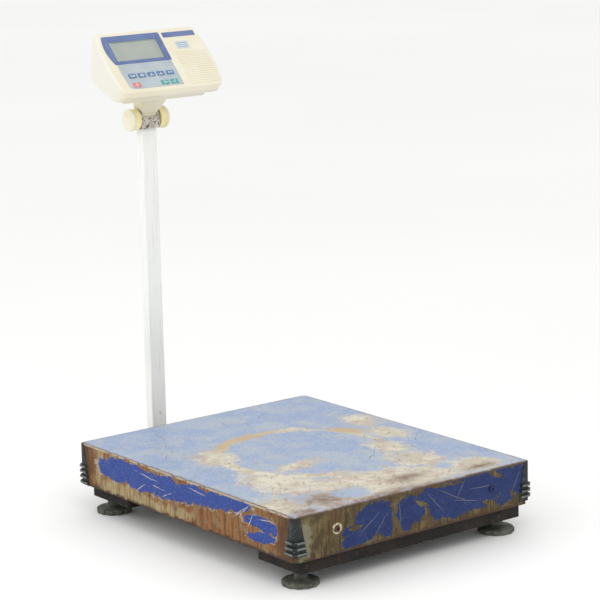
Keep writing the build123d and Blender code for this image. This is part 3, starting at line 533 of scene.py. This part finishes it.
def marked_top(shade, field, plane, top):
    """The top with its long faint streaks, dark scratches and specks."""
    along = shade.mapped(shade.place, size=(0.016, 0.24, 1), angle=28)
    streak = shade.step(shade.noise(1.0, 5, at=along, rough=0.7), 0.66, 0.72)
    across = shade.mapped(shade.place, size=(0.010, 0.2, 1), angle=-52)
    streak = shade.highest(streak, shade.step(shade.noise(1.0, 5, at=across, rough=0.7), 0.69, 0.74))
    top = shade.tint(top, streak, 0.40, (112, 106, 112))
    marks = shade.scratches(plane, TOP_DARK_SCRATCHES, 1.3)
    marks = shade.times(marks, shade.step(field.fine, 0.36, 0.56))
    top = shade.tint(top, marks, 0.75, (84, 82, 92))
    specks = shade.times(shade.step(shade.cells(150), 0.20, 0.12), shade.step(field.large, 0.50, 0.58))
    return shade.tint(top, specks, 0.60, (96, 90, 92))


def side_fields(shade, field):
    """Each side's plane of distance along and depth, shaken for paint, steadier for scratches."""
    down = shade.times(field.shaken_z, -1.0)
    field.left_end = shade.minus(COVER_HALF.y, field.shaken_y)
    right_end = shade.plus(COVER_HALF.y, field.shaken_y)
    field.long_plane = shade.join(
        shade.blend(shade.step(field.x, -0.01, 0.01), field.left_end, right_end), down)
    front_run = shade.plus(COVER_HALF.x, field.shaken_x)
    rear_run = shade.minus(COVER_HALF.x, field.shaken_x)
    field.short_plane = shade.join(
        shade.blend(shade.step(field.y, -0.01, 0.01), front_run, rear_run), down)
    field.is_short = shade.step(shade.minus(shade.absolute(field.y), COVER_HALF.y), -0.004, -0.002)
    steady = shade.vector("ADD", field.local, shade.vector("SCALE", field.shift, 0.005))
    steady_x, steady_y, steady_z = shade.split(steady)
    depth = shade.times(steady_z, -1.0)
    field.long_steady = shade.join(shade.minus(COVER_HALF.y, steady_y), depth)
    field.short_steady = shade.join(shade.plus(COVER_HALF.x, steady_x), depth)
    field.flake = shade.plus(shade.times(field.ragged, 0.75), shade.wobble(field.fine, 0.5))
    drip = shade.mapped(shade.place, size=(1, 1, 9))
    field.rust_lines = shade.step(shade.noise(230, 5, at=drip, rough=0.65), 0.38, 0.64)
    field.blotch = shade.noise(48, 6, rough=0.68)


def long_sides(shade, field):
    """The long sides' colour and where they are blue: rust and tan under deep blue."""
    edge_of_blue = shade.plus(shade.any_of(field.long_plane, LONG_BLUE), field.flake)
    blue = shade.step(edge_of_blue, 0.00, 0.10)
    rust = shade.mix(field.rust_lines, srgb(142, 98, 56), srgb(96, 60, 34))
    rust = shade.coats(rust, [(field.blotch, 0.50, 0.64, (124, 106, 76))])
    tan = shade.mix(field.rust_lines, srgb(162, 146, 108), srgb(124, 100, 66))
    tan = shade.coats(tan, [(field.blotch, 0.54, 0.66, (112, 78, 50))])
    tan_patch = shade.plus(shade.any_of(field.long_plane, LONG_TAN), field.ragged)
    bare = shade.mix(shade.step(tan_patch, -0.1, 0.4), rust, tan)
    run = shade.plus(field.left_end, shade.times(field.ragged, 0.012))
    near_end = shade.highest(shade.step(run, 0.050, 0.020), shade.step(run, 0.545, 0.600))
    bare = shade.tint(bare, near_end, 0.75, (58, 38, 22))
    rim = shade.times(shade.step(edge_of_blue, -0.12, -0.02), shade.step(edge_of_blue, 0.06, 0.00))
    rim = shade.times(rim, shade.step(field.mid, 0.48, 0.58))
    bare = shade.tint(bare, rim, 0.8, (176, 170, 152))
    deep = shade.coats(srgb(8, 48, 132), [
        (field.blotch, 0.38, 0.64, (20, 60, 136)),
        (field.fine, 0.54, 0.70, (82, 98, 126)),
    ])
    colour = shade.mix(blue, bare, deep)
    marks = shade.scratches(field.long_steady, LONG_SCRATCHES, 0.9)
    marks = shade.times(marks, shade.step(field.mid, 0.36, 0.5))
    return shade.mix(marks, colour, srgb(178, 174, 164)), blue


def short_sides(shade, field):
    """The short sides' colour and where they are blue: olive-brown under darker blue."""
    cut = shade.times(shade.any_of(field.short_plane, SHORT_BARE), -1.0)
    edge_of_blue = shade.lowest(shade.any_of(field.short_plane, SHORT_BLUE), cut)
    blue = shade.step(shade.plus(edge_of_blue, field.flake), 0.00, 0.10)
    olive = shade.coats(srgb(72, 60, 34), [
        (field.blotch, 0.38, 0.62, (104, 90, 58)),
        (field.large, 0.50, 0.68, (82, 58, 34)),
        (field.rust_lines, 0.5, 1.0, (62, 50, 30)),
    ])
    deep = shade.coats(srgb(6, 32, 88), [
        (field.blotch, 0.38, 0.64, (14, 42, 96)),
        (field.fine, 0.56, 0.70, (50, 60, 78)),
    ])
    colour = shade.mix(blue, olive, deep)
    marks = shade.scratches(field.short_steady, SHORT_SCRATCHES, 0.7)
    colour = shade.tint(colour, marks, 0.55, (132, 128, 120))
    for distance, halo_colour, strength in SCREW_HALOS:
        halo = shade.step(shade.patch(field.short_steady, (distance, SCREW_DEPTH), (10, 10)), 0.0, 0.15)
        halo = shade.times(halo, shade.step(field.fine, 0.36, 0.50))
        colour = shade.tint(colour, halo, strength, halo_colour)
    bloom = shade.plus(shade.patch(field.short_plane, (20, 40), (18, 40)), field.ragged)
    return shade.tint(colour, shade.step(bloom, 0.0, 0.5), 0.6, (140, 136, 112)), blue


def cover_enamel():
    """Blue enamel over steel: worn on top and pale there, from fading and painted glare, chipped and rusty on
    the sides.

    Cycles has limited stack space for the values that a shader holds at once. More
    layers have run it out of space, and then the whole cover is drawn black.
    """
    shade = Shade("cover_enamel", roughness=0.4, specular=0.3)
    field = cover_fields(shade)
    top, top_bare = top_wear_and_glare(shade, field)
    side_fields(shade, field)
    long_colour, long_blue = long_sides(shade, field)
    short_colour, short_blue = short_sides(shade, field)
    side = shade.mix(field.is_short, long_colour, short_colour)
    side_plane = shade.join(shade.plus(field.x, field.y), field.z)
    nicks = shade.streaks(side_plane, 28, 0.030, 0.0012, 0.665)
    nicks = shade.highest(nicks, shade.streaks(side_plane, -40, 0.026, 0.0012, 0.675))
    nicks = shade.highest(nicks, shade.streaks(side_plane, 64, 0.022, 0.0010, 0.685))
    side = shade.tint(side, nicks, 0.5, (142, 138, 128))
    low = shade.plus(field.z, shade.wobble(field.mid, 0.02))
    side = shade.coats(side, [(low, 0.006 - SKIRT, 0.001 - SKIRT, (70, 52, 40))])
    whole = shade.mix(field.on_top, side, top)

    # The folded top edge is a thin line, bright on the long sides and brown in front.
    fold = shade.times(shade.step(field.z, -0.0042, -0.0022), shade.step(field.z, -0.0002, -0.0010))
    fold_colour = shade.mix(field.is_short, srgb(170, 158, 140), srgb(78, 64, 52))
    whole = shade.mix(shade.times(fold, shade.step(field.mid, 0.40, 0.50)), whole, fold_colour)
    shade.colour(whole)

    side_paint = shade.blend(field.is_short, long_blue, short_blue)
    paint = shade.blend(field.on_top, side_paint, shade.minus(1.0, top_bare))
    shade.set("Roughness", shade.blend(paint, 0.72, shade.blend(field.fine, 0.30, 0.46)))
    shade.bump(shade.plus(field.mid, shade.times(field.fine, 0.4)), 0.0004, 0.6)
    give(shade, "platform_cover")


# ============================================================ plain metals
def rusty_frame():
    """Dark paint that has gone brown and rough."""
    shade = Shade("rusty_frame", roughness=0.8, specular=0.3)
    blotch = shade.noise(34, 5, rough=0.65)
    grain = shade.noise(420, 3)
    colour = shade.coats(srgb(24, 21, 19), [
        (blotch, 0.40, 0.62, (38, 31, 26)),
        (shade.noise(90, 4), 0.60, 0.70, (60, 42, 30)),
        (grain, 0.60, 0.72, (58, 50, 44)),
    ])
    shade.colour(colour)
    shade.set("Roughness", shade.blend(grain, 0.62, 0.92))
    shade.bump(shade.plus(blotch, grain), 0.0005, 0.6)
    give(shade, "front_beam", "rear_beam", "base_spine", "upper_frame")
    return shade


def white_post():
    """Off-white gloss paint, chipped and stained near the column's foot."""
    shade = Shade("white_post", roughness=0.32)
    _, _, z = shade.split(shade.place)
    cloud = shade.noise(7, 3)
    grime = shade.noise(120, 4, rough=0.6)
    run_down = shade.mapped(shade.place, size=(0.004, 0.004, 0.09))
    streaks = shade.noise(1.0, 4, at=run_down, rough=0.6)
    paint = shade.coats(srgb(232, 233, 230), [(cloud, 0.4, 0.65, (225, 226, 221))])
    paint = shade.tint(paint, shade.step(streaks, 0.52, 0.70), 0.35, (196, 194, 184))
    low = shade.plus(z, shade.wobble(grime, 0.10))
    stained = shade.step(low, 0.110, 0.055)
    paint = shade.tint(paint, stained, 0.35, (196, 184, 154))
    chips = shade.times(shade.step(grime, 0.62, 0.67), shade.step(z, 0.14, 0.07))
    paint = shade.mix(chips, paint, srgb(92, 66, 48))
    specks = shade.step(shade.cells(34), 0.06, 0.03)
    paint = shade.tint(paint, specks, 0.25, (168, 162, 152))
    shade.colour(paint)
    shade.set("Roughness", shade.blend(grime, 0.26, 0.42))
    shade.bump(shade.minus(grime, chips), 0.0002, 0.4)
    give(shade, "column")


def grey_arm():
    """Dull grey paint with patches of rust, on the arm and its socket."""
    shade = Shade("grey_arm", roughness=0.6)
    blotch = shade.noise(60, 5, rough=0.65)
    grain = shade.noise(300, 3)
    colour = shade.coats(srgb(206, 203, 194), [
        (blotch, 0.42, 0.60, (178, 168, 150)),
        (blotch, 0.58, 0.68, (104, 74, 52)),
    ])
    shade.colour(colour)
    shade.set("Roughness", shade.blend(grain, 0.5, 0.75))
    shade.bump(shade.plus(blotch, grain), 0.0003, 0.5)
    give(shade, "column_arm", "column_socket")


def zinc_hardware():
    """Dull plated bolts, nuts and studs with a little rust."""
    shade = Shade("zinc_hardware", roughness=0.45, metallic=0.85)
    blotch = shade.noise(220, 4)
    colour = shade.coats(srgb(150, 146, 138), [(blotch, 0.45, 0.62, (112, 88, 66))])
    shade.colour(colour)
    shade.set("Roughness", shade.blend(blotch, 0.3, 0.7))
    shade.bump(blotch, 0.0002, 0.5)
    names = ["socket_bolts", "yoke_screws", "foot_weld_nuts", "cell_bolts_lower", "cell_bolts_upper",
             "overload_stops", "tilt_axle", "board_screws", "case_screws"]
    names += [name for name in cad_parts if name.startswith("foot_stud_")]
    give(shade, *names)
    return shade


def cover_screw_steel():
    """The cover's screws: dark and pitted, the front-right one painted over."""
    shade = Shade("cover_screw_steel", roughness=0.5, metallic=0.5)
    blotch = shade.noise(380, 4)
    colour = shade.coats(srgb(46, 40, 38), [(blotch, 0.42, 0.62, (104, 78, 58))])
    x, y, _ = shade.split(shade.vector("SUBTRACT", shade.place, COVER_MID))
    painted = shade.times(shade.step(x, -0.01, 0.01), shade.step(y, 0.01, -0.01))
    shade.colour(shade.mix(painted, colour, srgb(26, 44, 98)))
    shade.set("Roughness", shade.blend(blotch, 0.4, 0.75))
    shade.bump(blotch, 0.0002, 0.6)
    give(shade, "cover_screws")


def cell_aluminium():
    """Milled aluminium of the load cell and its packing plates."""
    shade = Shade("cell_aluminium", roughness=0.35, metallic=1.0)
    lines = shade.noise(1.0, 3, at=shade.mapped(shade.place, size=(0.0006, 0.05, 0.0006)))
    shade.colour(shade.mix(lines, srgb(186, 188, 190), srgb(206, 207, 208)))
    shade.set("Roughness", shade.blend(lines, 0.28, 0.45))
    shade.bump(lines, 0.00005, 0.4)
    give(shade, "load_cell", "cell_spacer_lower", "cell_spacer_upper")


# ================================================================== rubber
def guard_rubber():
    """Black rubber with a greenish bloom, pale on what stands out: scuffs with a painted highlight on the
    ribs' outer edges.
    """
    shade = Shade("guard_rubber", roughness=0.6, specular=0.35)
    x, y, _ = shade.split(shade.vector("SUBTRACT", shade.place, COVER_MID))
    grain = shade.noise(240, 4)
    cloud = shade.noise(60, 4)
    # Pale band on the ribs' outer edges: scuffs and a painted highlight.
    out = shade.plus(past_outline(shade, x, y), shade.wobble(cloud, 0.004))
    colour = shade.coats(srgb(26, 31, 31), [
        (cloud, 0.40, 0.64, (46, 52, 50)),
        (out, 0.0036, 0.0052, (100, 106, 102)),
        (grain, 0.62, 0.72, (108, 112, 106)),
    ])
    shade.colour(colour)
    shade.set("Roughness", shade.blend(grain, 0.42, 0.75))
    shade.bump(shade.plus(grain, cloud), 0.0003, 0.5)
    give(shade, *[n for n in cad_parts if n.startswith("corner_guard_")], "cover_cushions")


def foot_moulding():
    """Grey-black foot pads, dusty in places."""
    shade = Shade("foot_moulding", roughness=0.7, specular=0.35)
    grain = shade.noise(300, 4)
    cloud = shade.noise(80, 4)
    colour = shade.coats(srgb(66, 67, 60), [
        (cloud, 0.40, 0.64, (94, 95, 86)),
        (grain, 0.60, 0.74, (118, 116, 108)),
    ])
    shade.colour(colour)
    shade.set("Roughness", shade.blend(grain, 0.55, 0.85))
    shade.bump(shade.plus(grain, cloud), 0.0003, 0.5)
    give(shade, *[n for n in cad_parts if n.startswith("foot_pad_")])


# =============================================================== indicator
def cream_case():
    """Old ivory plastic: yellowed, with faint marks; the case's sides are painted paler for the light that
    falls on them.
    """
    shade = Shade("cream_case", roughness=0.42)
    x, _, _ = shade.split(shade.place)
    cloud = shade.noise(9, 3)
    grain = shade.noise(900, 2)
    colour = shade.coats(srgb(227, 222, 204), [(cloud, 0.38, 0.66, (222, 215, 191))])
    case_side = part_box("upper_case")[1].x
    # Painted light: the case's sides get a paler, greyer tone for the light that washes them.
    pale = shade.step(shade.absolute(x), case_side - 0.009, case_side - 0.003)
    colour = shade.mix(pale, colour, srgb(221, 219, 208))
    marks = shade.times(shade.step(shade.noise(110, 4, rough=0.65), 0.64, 0.72),
                        shade.step(shade.noise(16, 2), 0.52, 0.60))
    colour = shade.tint(colour, marks, 0.45, (176, 162, 140))
    shade.colour(colour)
    shade.set("Roughness", shade.blend(cloud, 0.36, 0.5))
    shade.bump(grain, 0.00008, 0.35)
    give(shade, "upper_case", "lower_case", "tilt_bracket")


# How far a knob's pale cap reaches in from its outer face.
KNOB_CAP = 0.0064


def knob_plastic():
    """Clamp knobs: a yellow rim and a paler cap."""
    shade = Shade("knob_plastic", roughness=0.38)
    x, _, _ = shade.split(shade.place)
    cloud = shade.noise(40, 3)
    rim = shade.coats(srgb(243, 232, 180), [(cloud, 0.4, 0.65, (236, 219, 160))])
    cap = shade.coats(srgb(229, 224, 203), [(cloud, 0.4, 0.65, (222, 215, 187))])
    cap_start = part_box("clamp_knob_right")[1].x - KNOB_CAP
    shade.colour(shade.mix(shade.step(shade.absolute(x), cap_start - 0.0002, cap_start + 0.0002), rim, cap))
    shade.set("Roughness", shade.blend(cloud, 0.32, 0.46))
    shade.bump(shade.noise(700, 2), 0.00006, 0.3)
    give(shade, "clamp_knob_left", "clamp_knob_right")


def yoke_coating():
    """Corroded grey metal with dark pits and pale spots."""
    shade = Shade("yoke_coating", roughness=0.55, metallic=0.35)
    pits = shade.noise(330, 5, rough=0.7)
    cloud = shade.noise(110, 4)
    colour = shade.coats(srgb(88, 78, 74), [
        (pits, 0.42, 0.52, (200, 193, 182)),
        (cloud, 0.56, 0.66, (216, 210, 200)),
        (shade.noise(190, 3), 0.62, 0.68, (104, 70, 50)),
    ])
    shade.colour(colour)
    shade.set("Roughness", shade.blend(pits, 0.75, 0.4))
    shade.bump(pits, 0.0005, 0.8)
    give(shade, "tilt_yoke")


def printed(name, nodes, main, other, roughness=0.35):
    """A printed or moulded plastic part: one hue with a slight cloud and grain."""
    shade = Shade(name, roughness=roughness)
    shade.colour(shade.mix(shade.step(shade.noise(30, 3), 0.38, 0.64), srgb(*main), srgb(*other)))
    shade.set("Roughness", shade.blend(shade.noise(400, 3), roughness - 0.06, roughness + 0.10))
    shade.bump(shade.noise(800, 2), 0.00005, 0.3)
    give(shade, *nodes)
    return shade


def display_glass():
    """Clear acrylic over the display."""
    shade = Shade("display_glass", roughness=0.08)
    shade.colour(srgb(244, 247, 244))
    shade.set("Transmission Weight", 1.0)
    shade.set("Roughness", shade.blend(shade.noise(60, 3), 0.05, 0.16))
    shade.bump(shade.noise(200, 2), 0.00002, 0.2)
    give(shade, "display_window")


def small_parts():
    """Everything on and in the indicator that is one plain moulding or print."""
    printed("bezel_print", ["display_bezel"], (84, 103, 150), (96, 115, 158), 0.3)
    printed("liquid_crystal", ["display_module"], (216, 221, 216), (224, 228, 222), 0.4)
    printed("legend_print", ["legend_strip"], (164, 175, 183), (174, 184, 190))
    printed("title_print", ["title_strip"], (90, 104, 150), (102, 116, 160))
    printed("panel_print", ["key_panel"], (165, 177, 184), (174, 185, 190))
    printed("key_blue", ["key_mode", "key_print", "key_setpoint", "key_gross", "key_tare"],
            (84, 114, 154), (96, 126, 164))
    printed("key_red", ["key_power"], (214, 114, 118), (220, 130, 132))
    printed("key_green", ["key_zero", "key_reset"], (74, 156, 149), (88, 166, 158))
    printed("board_lacquer", ["main_board"], (24, 92, 52), (30, 104, 60))
    printed("black_moulding", ["load_cell_cable", "power_inlet"], (22, 22, 24), (32, 32, 34), 0.5)


# ============================================================ detail pieces
def add_piece(name, shape, body, shade, smooth=False):
    """Turn a bmesh into an object that rides on a body."""
    mesh = bpy.data.meshes.new(name)
    bmesh.ops.recalc_face_normals(shape, faces=shape.faces)
    shape.to_mesh(mesh)
    shape.free()
    mesh.materials.append(shade.material)
    for face in mesh.polygons:
        face.use_smooth = smooth
    piece = bpy.data.objects.new(name, mesh)
    bpy.context.scene.collection.objects.link(piece)
    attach(piece, body)
    return piece


def close_tube(shape, rings):
    """Join rings of points into a tube and close its ends."""
    for low, high in zip(rings, rings[1:]):
        for i in range(len(low)):
            after = (i + 1) % len(low)
            shape.faces.new((low[i], low[after], high[after], high[i]))
    shape.faces.new(rings[0][::-1])
    shape.faces.new(rings[-1])


def threaded_stud(place, shade):
    """A foot's stud with its thread cut: the radius falls into a helical groove."""
    node = "foot_stud_" + place
    pitch, depth, point = 0.0015, 0.0009, 0.0012
    around, per_turn = 26, 5
    low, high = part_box(node)
    middle = (low + high) / 2
    outer = (high.x - low.x) / 2
    rows = round((high.z - low.z) / pitch * per_turn)
    shape = bmesh.new()
    rings = []
    for row in range(rows + 1):
        z = low.z + (high.z - low.z) * row / rows
        crest = outer - max(0.0, point - (high.z - z))
        ring = []
        for i in range(around):
            turn = i / around
            phase = (z / pitch - turn) % 1.0
            radius = crest - depth * (1.0 - abs(2.0 * phase - 1.0))
            x = middle.x + radius * cos(2 * pi * turn)
            y = middle.y + radius * sin(2 * pi * turn)
            ring.append(shape.verts.new((x, y, z)))
        rings.append(ring)
    close_tube(shape, rings)
    piece = add_piece("thread_" + place, shape, "foot_screw_" + place, shade, smooth=True)
    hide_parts(node)


def weld_beads(name, runs, shade):
    """Weld beads on the base along straight runs: round ripples laid one over the next."""
    radius, ripple, around = 0.0021, 0.0024, 10
    shape = bmesh.new()
    for start, end in runs:
        start, end = Vector(start), Vector(end)
        along = (end - start).normalized()
        side = along.orthogonal().normalized()
        up = along.cross(side)
        rows = max(6, round((end - start).length / ripple * 4))
        rings = []
        for row in range(rows + 1):
            travel = (end - start).length * row / rows
            swell = abs(sin(pi * travel / ripple)) ** 0.6
            wander = 0.12 * sin(travel * 900) + 0.08 * sin(travel * 2300 + 1.0)
            taper = sqrt(min(1.0, (0.5 + min(row, rows - row)) / 3))
            size = radius * taper * (0.80 + 0.20 * swell + wander * 0.5)
            middle = start + along * travel
            ring = []
            for i in range(around):
                angle = 2 * pi * i / around
                ring.append(shape.verts.new(middle + size * (cos(angle) * side + sin(angle) * up)))
            rings.append(ring)
        close_tube(shape, rings)
    add_piece(name, shape, "base", shade, smooth=True)


def height_on_face(node):
    """How far a node reaches along the face's normal."""
    return max(FACE_NORMAL.dot(vertex.co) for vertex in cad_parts[node].data.vertices)


def face_point(across, down, height):
    """A point on the face: millimetres across and down it, at a height along its normal."""
    point = FACE_TOP + FACE_DOWN * (down / 1000)
    point = point + FACE_NORMAL * (height - FACE_NORMAL.dot(point))
    return point + Vector((across / 1000, 0, 0))


def printed_marks(name, outlines, centre, node, body, shade, thick=0.00015):
    """Raised flat prints on a face: one thin prism for each outline, in millimetres."""
    base = height_on_face(node) - 0.00002
    shape = bmesh.new()
    for outline in outlines:
        places = [(centre[0] + across, centre[1] + down) for across, down in outline]
        close_tube(shape, [[shape.verts.new(face_point(across, down, height)) for across, down in places]
                           for height in (base, base + thick)])
    add_piece(name, shape, body, shade)


def bar(across, down, wide, high):
    """A rectangle about a middle."""
    left, right = across - wide / 2, across + wide / 2
    top, bottom = down - high / 2, down + high / 2
    return [(left, top), (right, top), (right, bottom), (left, bottom)]


def polar(across, down, radius, angle):
    """A point around a middle, its angle in degrees clockwise from up the face."""
    return across + radius * sin(radians(angle)), down - radius * cos(radians(angle))


def wedge(across, down, size, turn):
    """A triangle about a middle; a turn of 0 points up the face."""
    return [polar(across, down, size, turn + 120 * i) for i in range(3)]


def hoop(across, down, outer, inner, start, end):
    """Part of a ring, from one angle to another."""
    steps = 16
    angles = [start + (end - start) * i / steps for i in range(steps + 1)]
    rim = [polar(across, down, outer, angle) for angle in angles]
    return rim + [polar(across, down, inner, angle) for angle in reversed(angles)]


def rounded_label(wide, high, radius):
    """A rectangle with round corners about the origin."""
    steps = 5
    outline = []
    for corner, (side, end) in enumerate([(1, -1), (1, 1), (-1, 1), (-1, -1)]):
        middle = (side * (wide / 2 - radius), end * (high / 2 - radius))
        outline += [polar(*middle, radius, 90 * (corner + i / steps)) for i in range(steps + 1)]
    return outline


def middle_on_face(node):
    """A node's middle on the face, in millimetres across and down."""
    low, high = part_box(node)
    middle = (low + high) / 2
    return middle.x * 1000, FACE_DOWN.dot(middle - FACE_TOP) * 1000


# Middles on the face, in millimetres across it and down from its top edge.
LABEL_MIDDLE = (63, 41)
POINTERS_MIDDLE = (-93.5, 42)
# Each key's mark: plain geometric outlines about the key's middle.
KEY_MARKS = {
    "mode": [bar(-3.4, -0.9, 4, 1.3), bar(3.0, -0.9, 5, 1.3), bar(0, 1.6, 8.5, 1.1)],
    "print": [bar(0, -1.6, 6, 1.2), bar(0, 0.4, 9, 1.2), bar(0, 2.2, 6, 0.9)],
    "setpoint": [wedge(0, -0.4, 1.9, 0), bar(0, 2.2, 8, 1.0)],
    "gross": [bar(0, 1.9, 9, 1.2), wedge(0, -0.8, 1.9, 180)],
    "tare": [wedge(-2.6, -0.2, 2.0, 90), wedge(2.6, -0.2, 2.0, 270)],
    "power": [hoop(0, 0.2, 2.9, 2.1, 35, 325), bar(0, -2.0, 0.9, 3.0)],
    "zero": [hoop(-0.2, 0, 2.7, 1.8, 8, 352), bar(4.6, 0, 2.4, 0.9)],
    "reset": [hoop(0, 0, 2.7, 1.9, 60, 330), wedge(1.5, -2.2, 1.3, 90)],
}


def add_details():
    """Threads, weld beads and the indicator's small generic prints."""
    thread = zinc_hardware()
    for place in ("front_left", "front_right", "rear_left", "rear_right"):
        threaded_stud(place, thread)

    bead = rusty_frame()
    spine, rear_beam, front_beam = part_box("base_spine"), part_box("rear_beam"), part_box("front_beam")
    arm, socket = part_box("column_arm"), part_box("column_socket")
    runs = []
    for y in (front_beam[1].y, rear_beam[0].y):
        for x in (spine[0].x, spine[1].x):
            runs.append(((x, y, spine[0].z + 0.003), (x, y, spine[1].z - 0.003)))
    weld_beads("weld_beads_spine", runs, bead)
    back = rear_beam[1].y
    runs = [((arm[0].x + 0.003, back, arm[1].z), (arm[1].x - 0.003, back, arm[1].z))]
    runs += [((x, back, arm[0].z + 0.003), (x, back, arm[1].z - 0.002)) for x in (arm[0].x, arm[1].x)]
    weld_beads("weld_beads_arm", runs, bead)
    left, right, foot = socket[0].x + 0.002, socket[1].x - 0.002, socket[0].z
    runs = [((left, y, foot), (right, y, foot)) for y in (socket[0].y, socket[1].y)]
    weld_beads("weld_beads_socket", runs, bead)

    white = printed("mark_print", [], (214, 220, 224), (224, 229, 232))
    for key, outlines in KEY_MARKS.items():
        node = "key_" + key
        printed_marks("mark_" + key, outlines, middle_on_face(node), node, node + "_cap", white)
    faded = printed("faded_print", [], (196, 205, 208), (186, 196, 202))
    label = [rounded_label(28, 17, 2)]
    printed_marks("case_label", label, LABEL_MIDDLE, "upper_case", "head", faded)
    dim = printed("dim_print", [], (140, 156, 184), (150, 166, 192))
    lines = [bar(0, -4.6, 22, 1.6), bar(-5, 0, 12, 1.4), bar(6.5, 0, 7, 1.4), bar(0, 4.4, 20, 1.2)]
    printed_marks("case_label_lines", lines, LABEL_MIDDLE, "upper_case", "head", dim, 0.0003)
    pointers = [wedge(0, down, 1.7, 90) for down in (-16, 0, 16)]
    pointers += [bar(0.5, down, 3.6, 0.8) for down in (-11, 5, 21)]
    printed_marks("bezel_pointers", pointers, POINTERS_MIDDLE, "display_bezel", "head", dim)


# ============================================================== build it
add_camera()
add_studio()
cover_enamel()
white_post()
grey_arm()
cover_screw_steel()
cell_aluminium()
guard_rubber()
foot_moulding()
cream_case()
knob_plastic()
yoke_coating()
display_glass()
small_parts()
add_details()
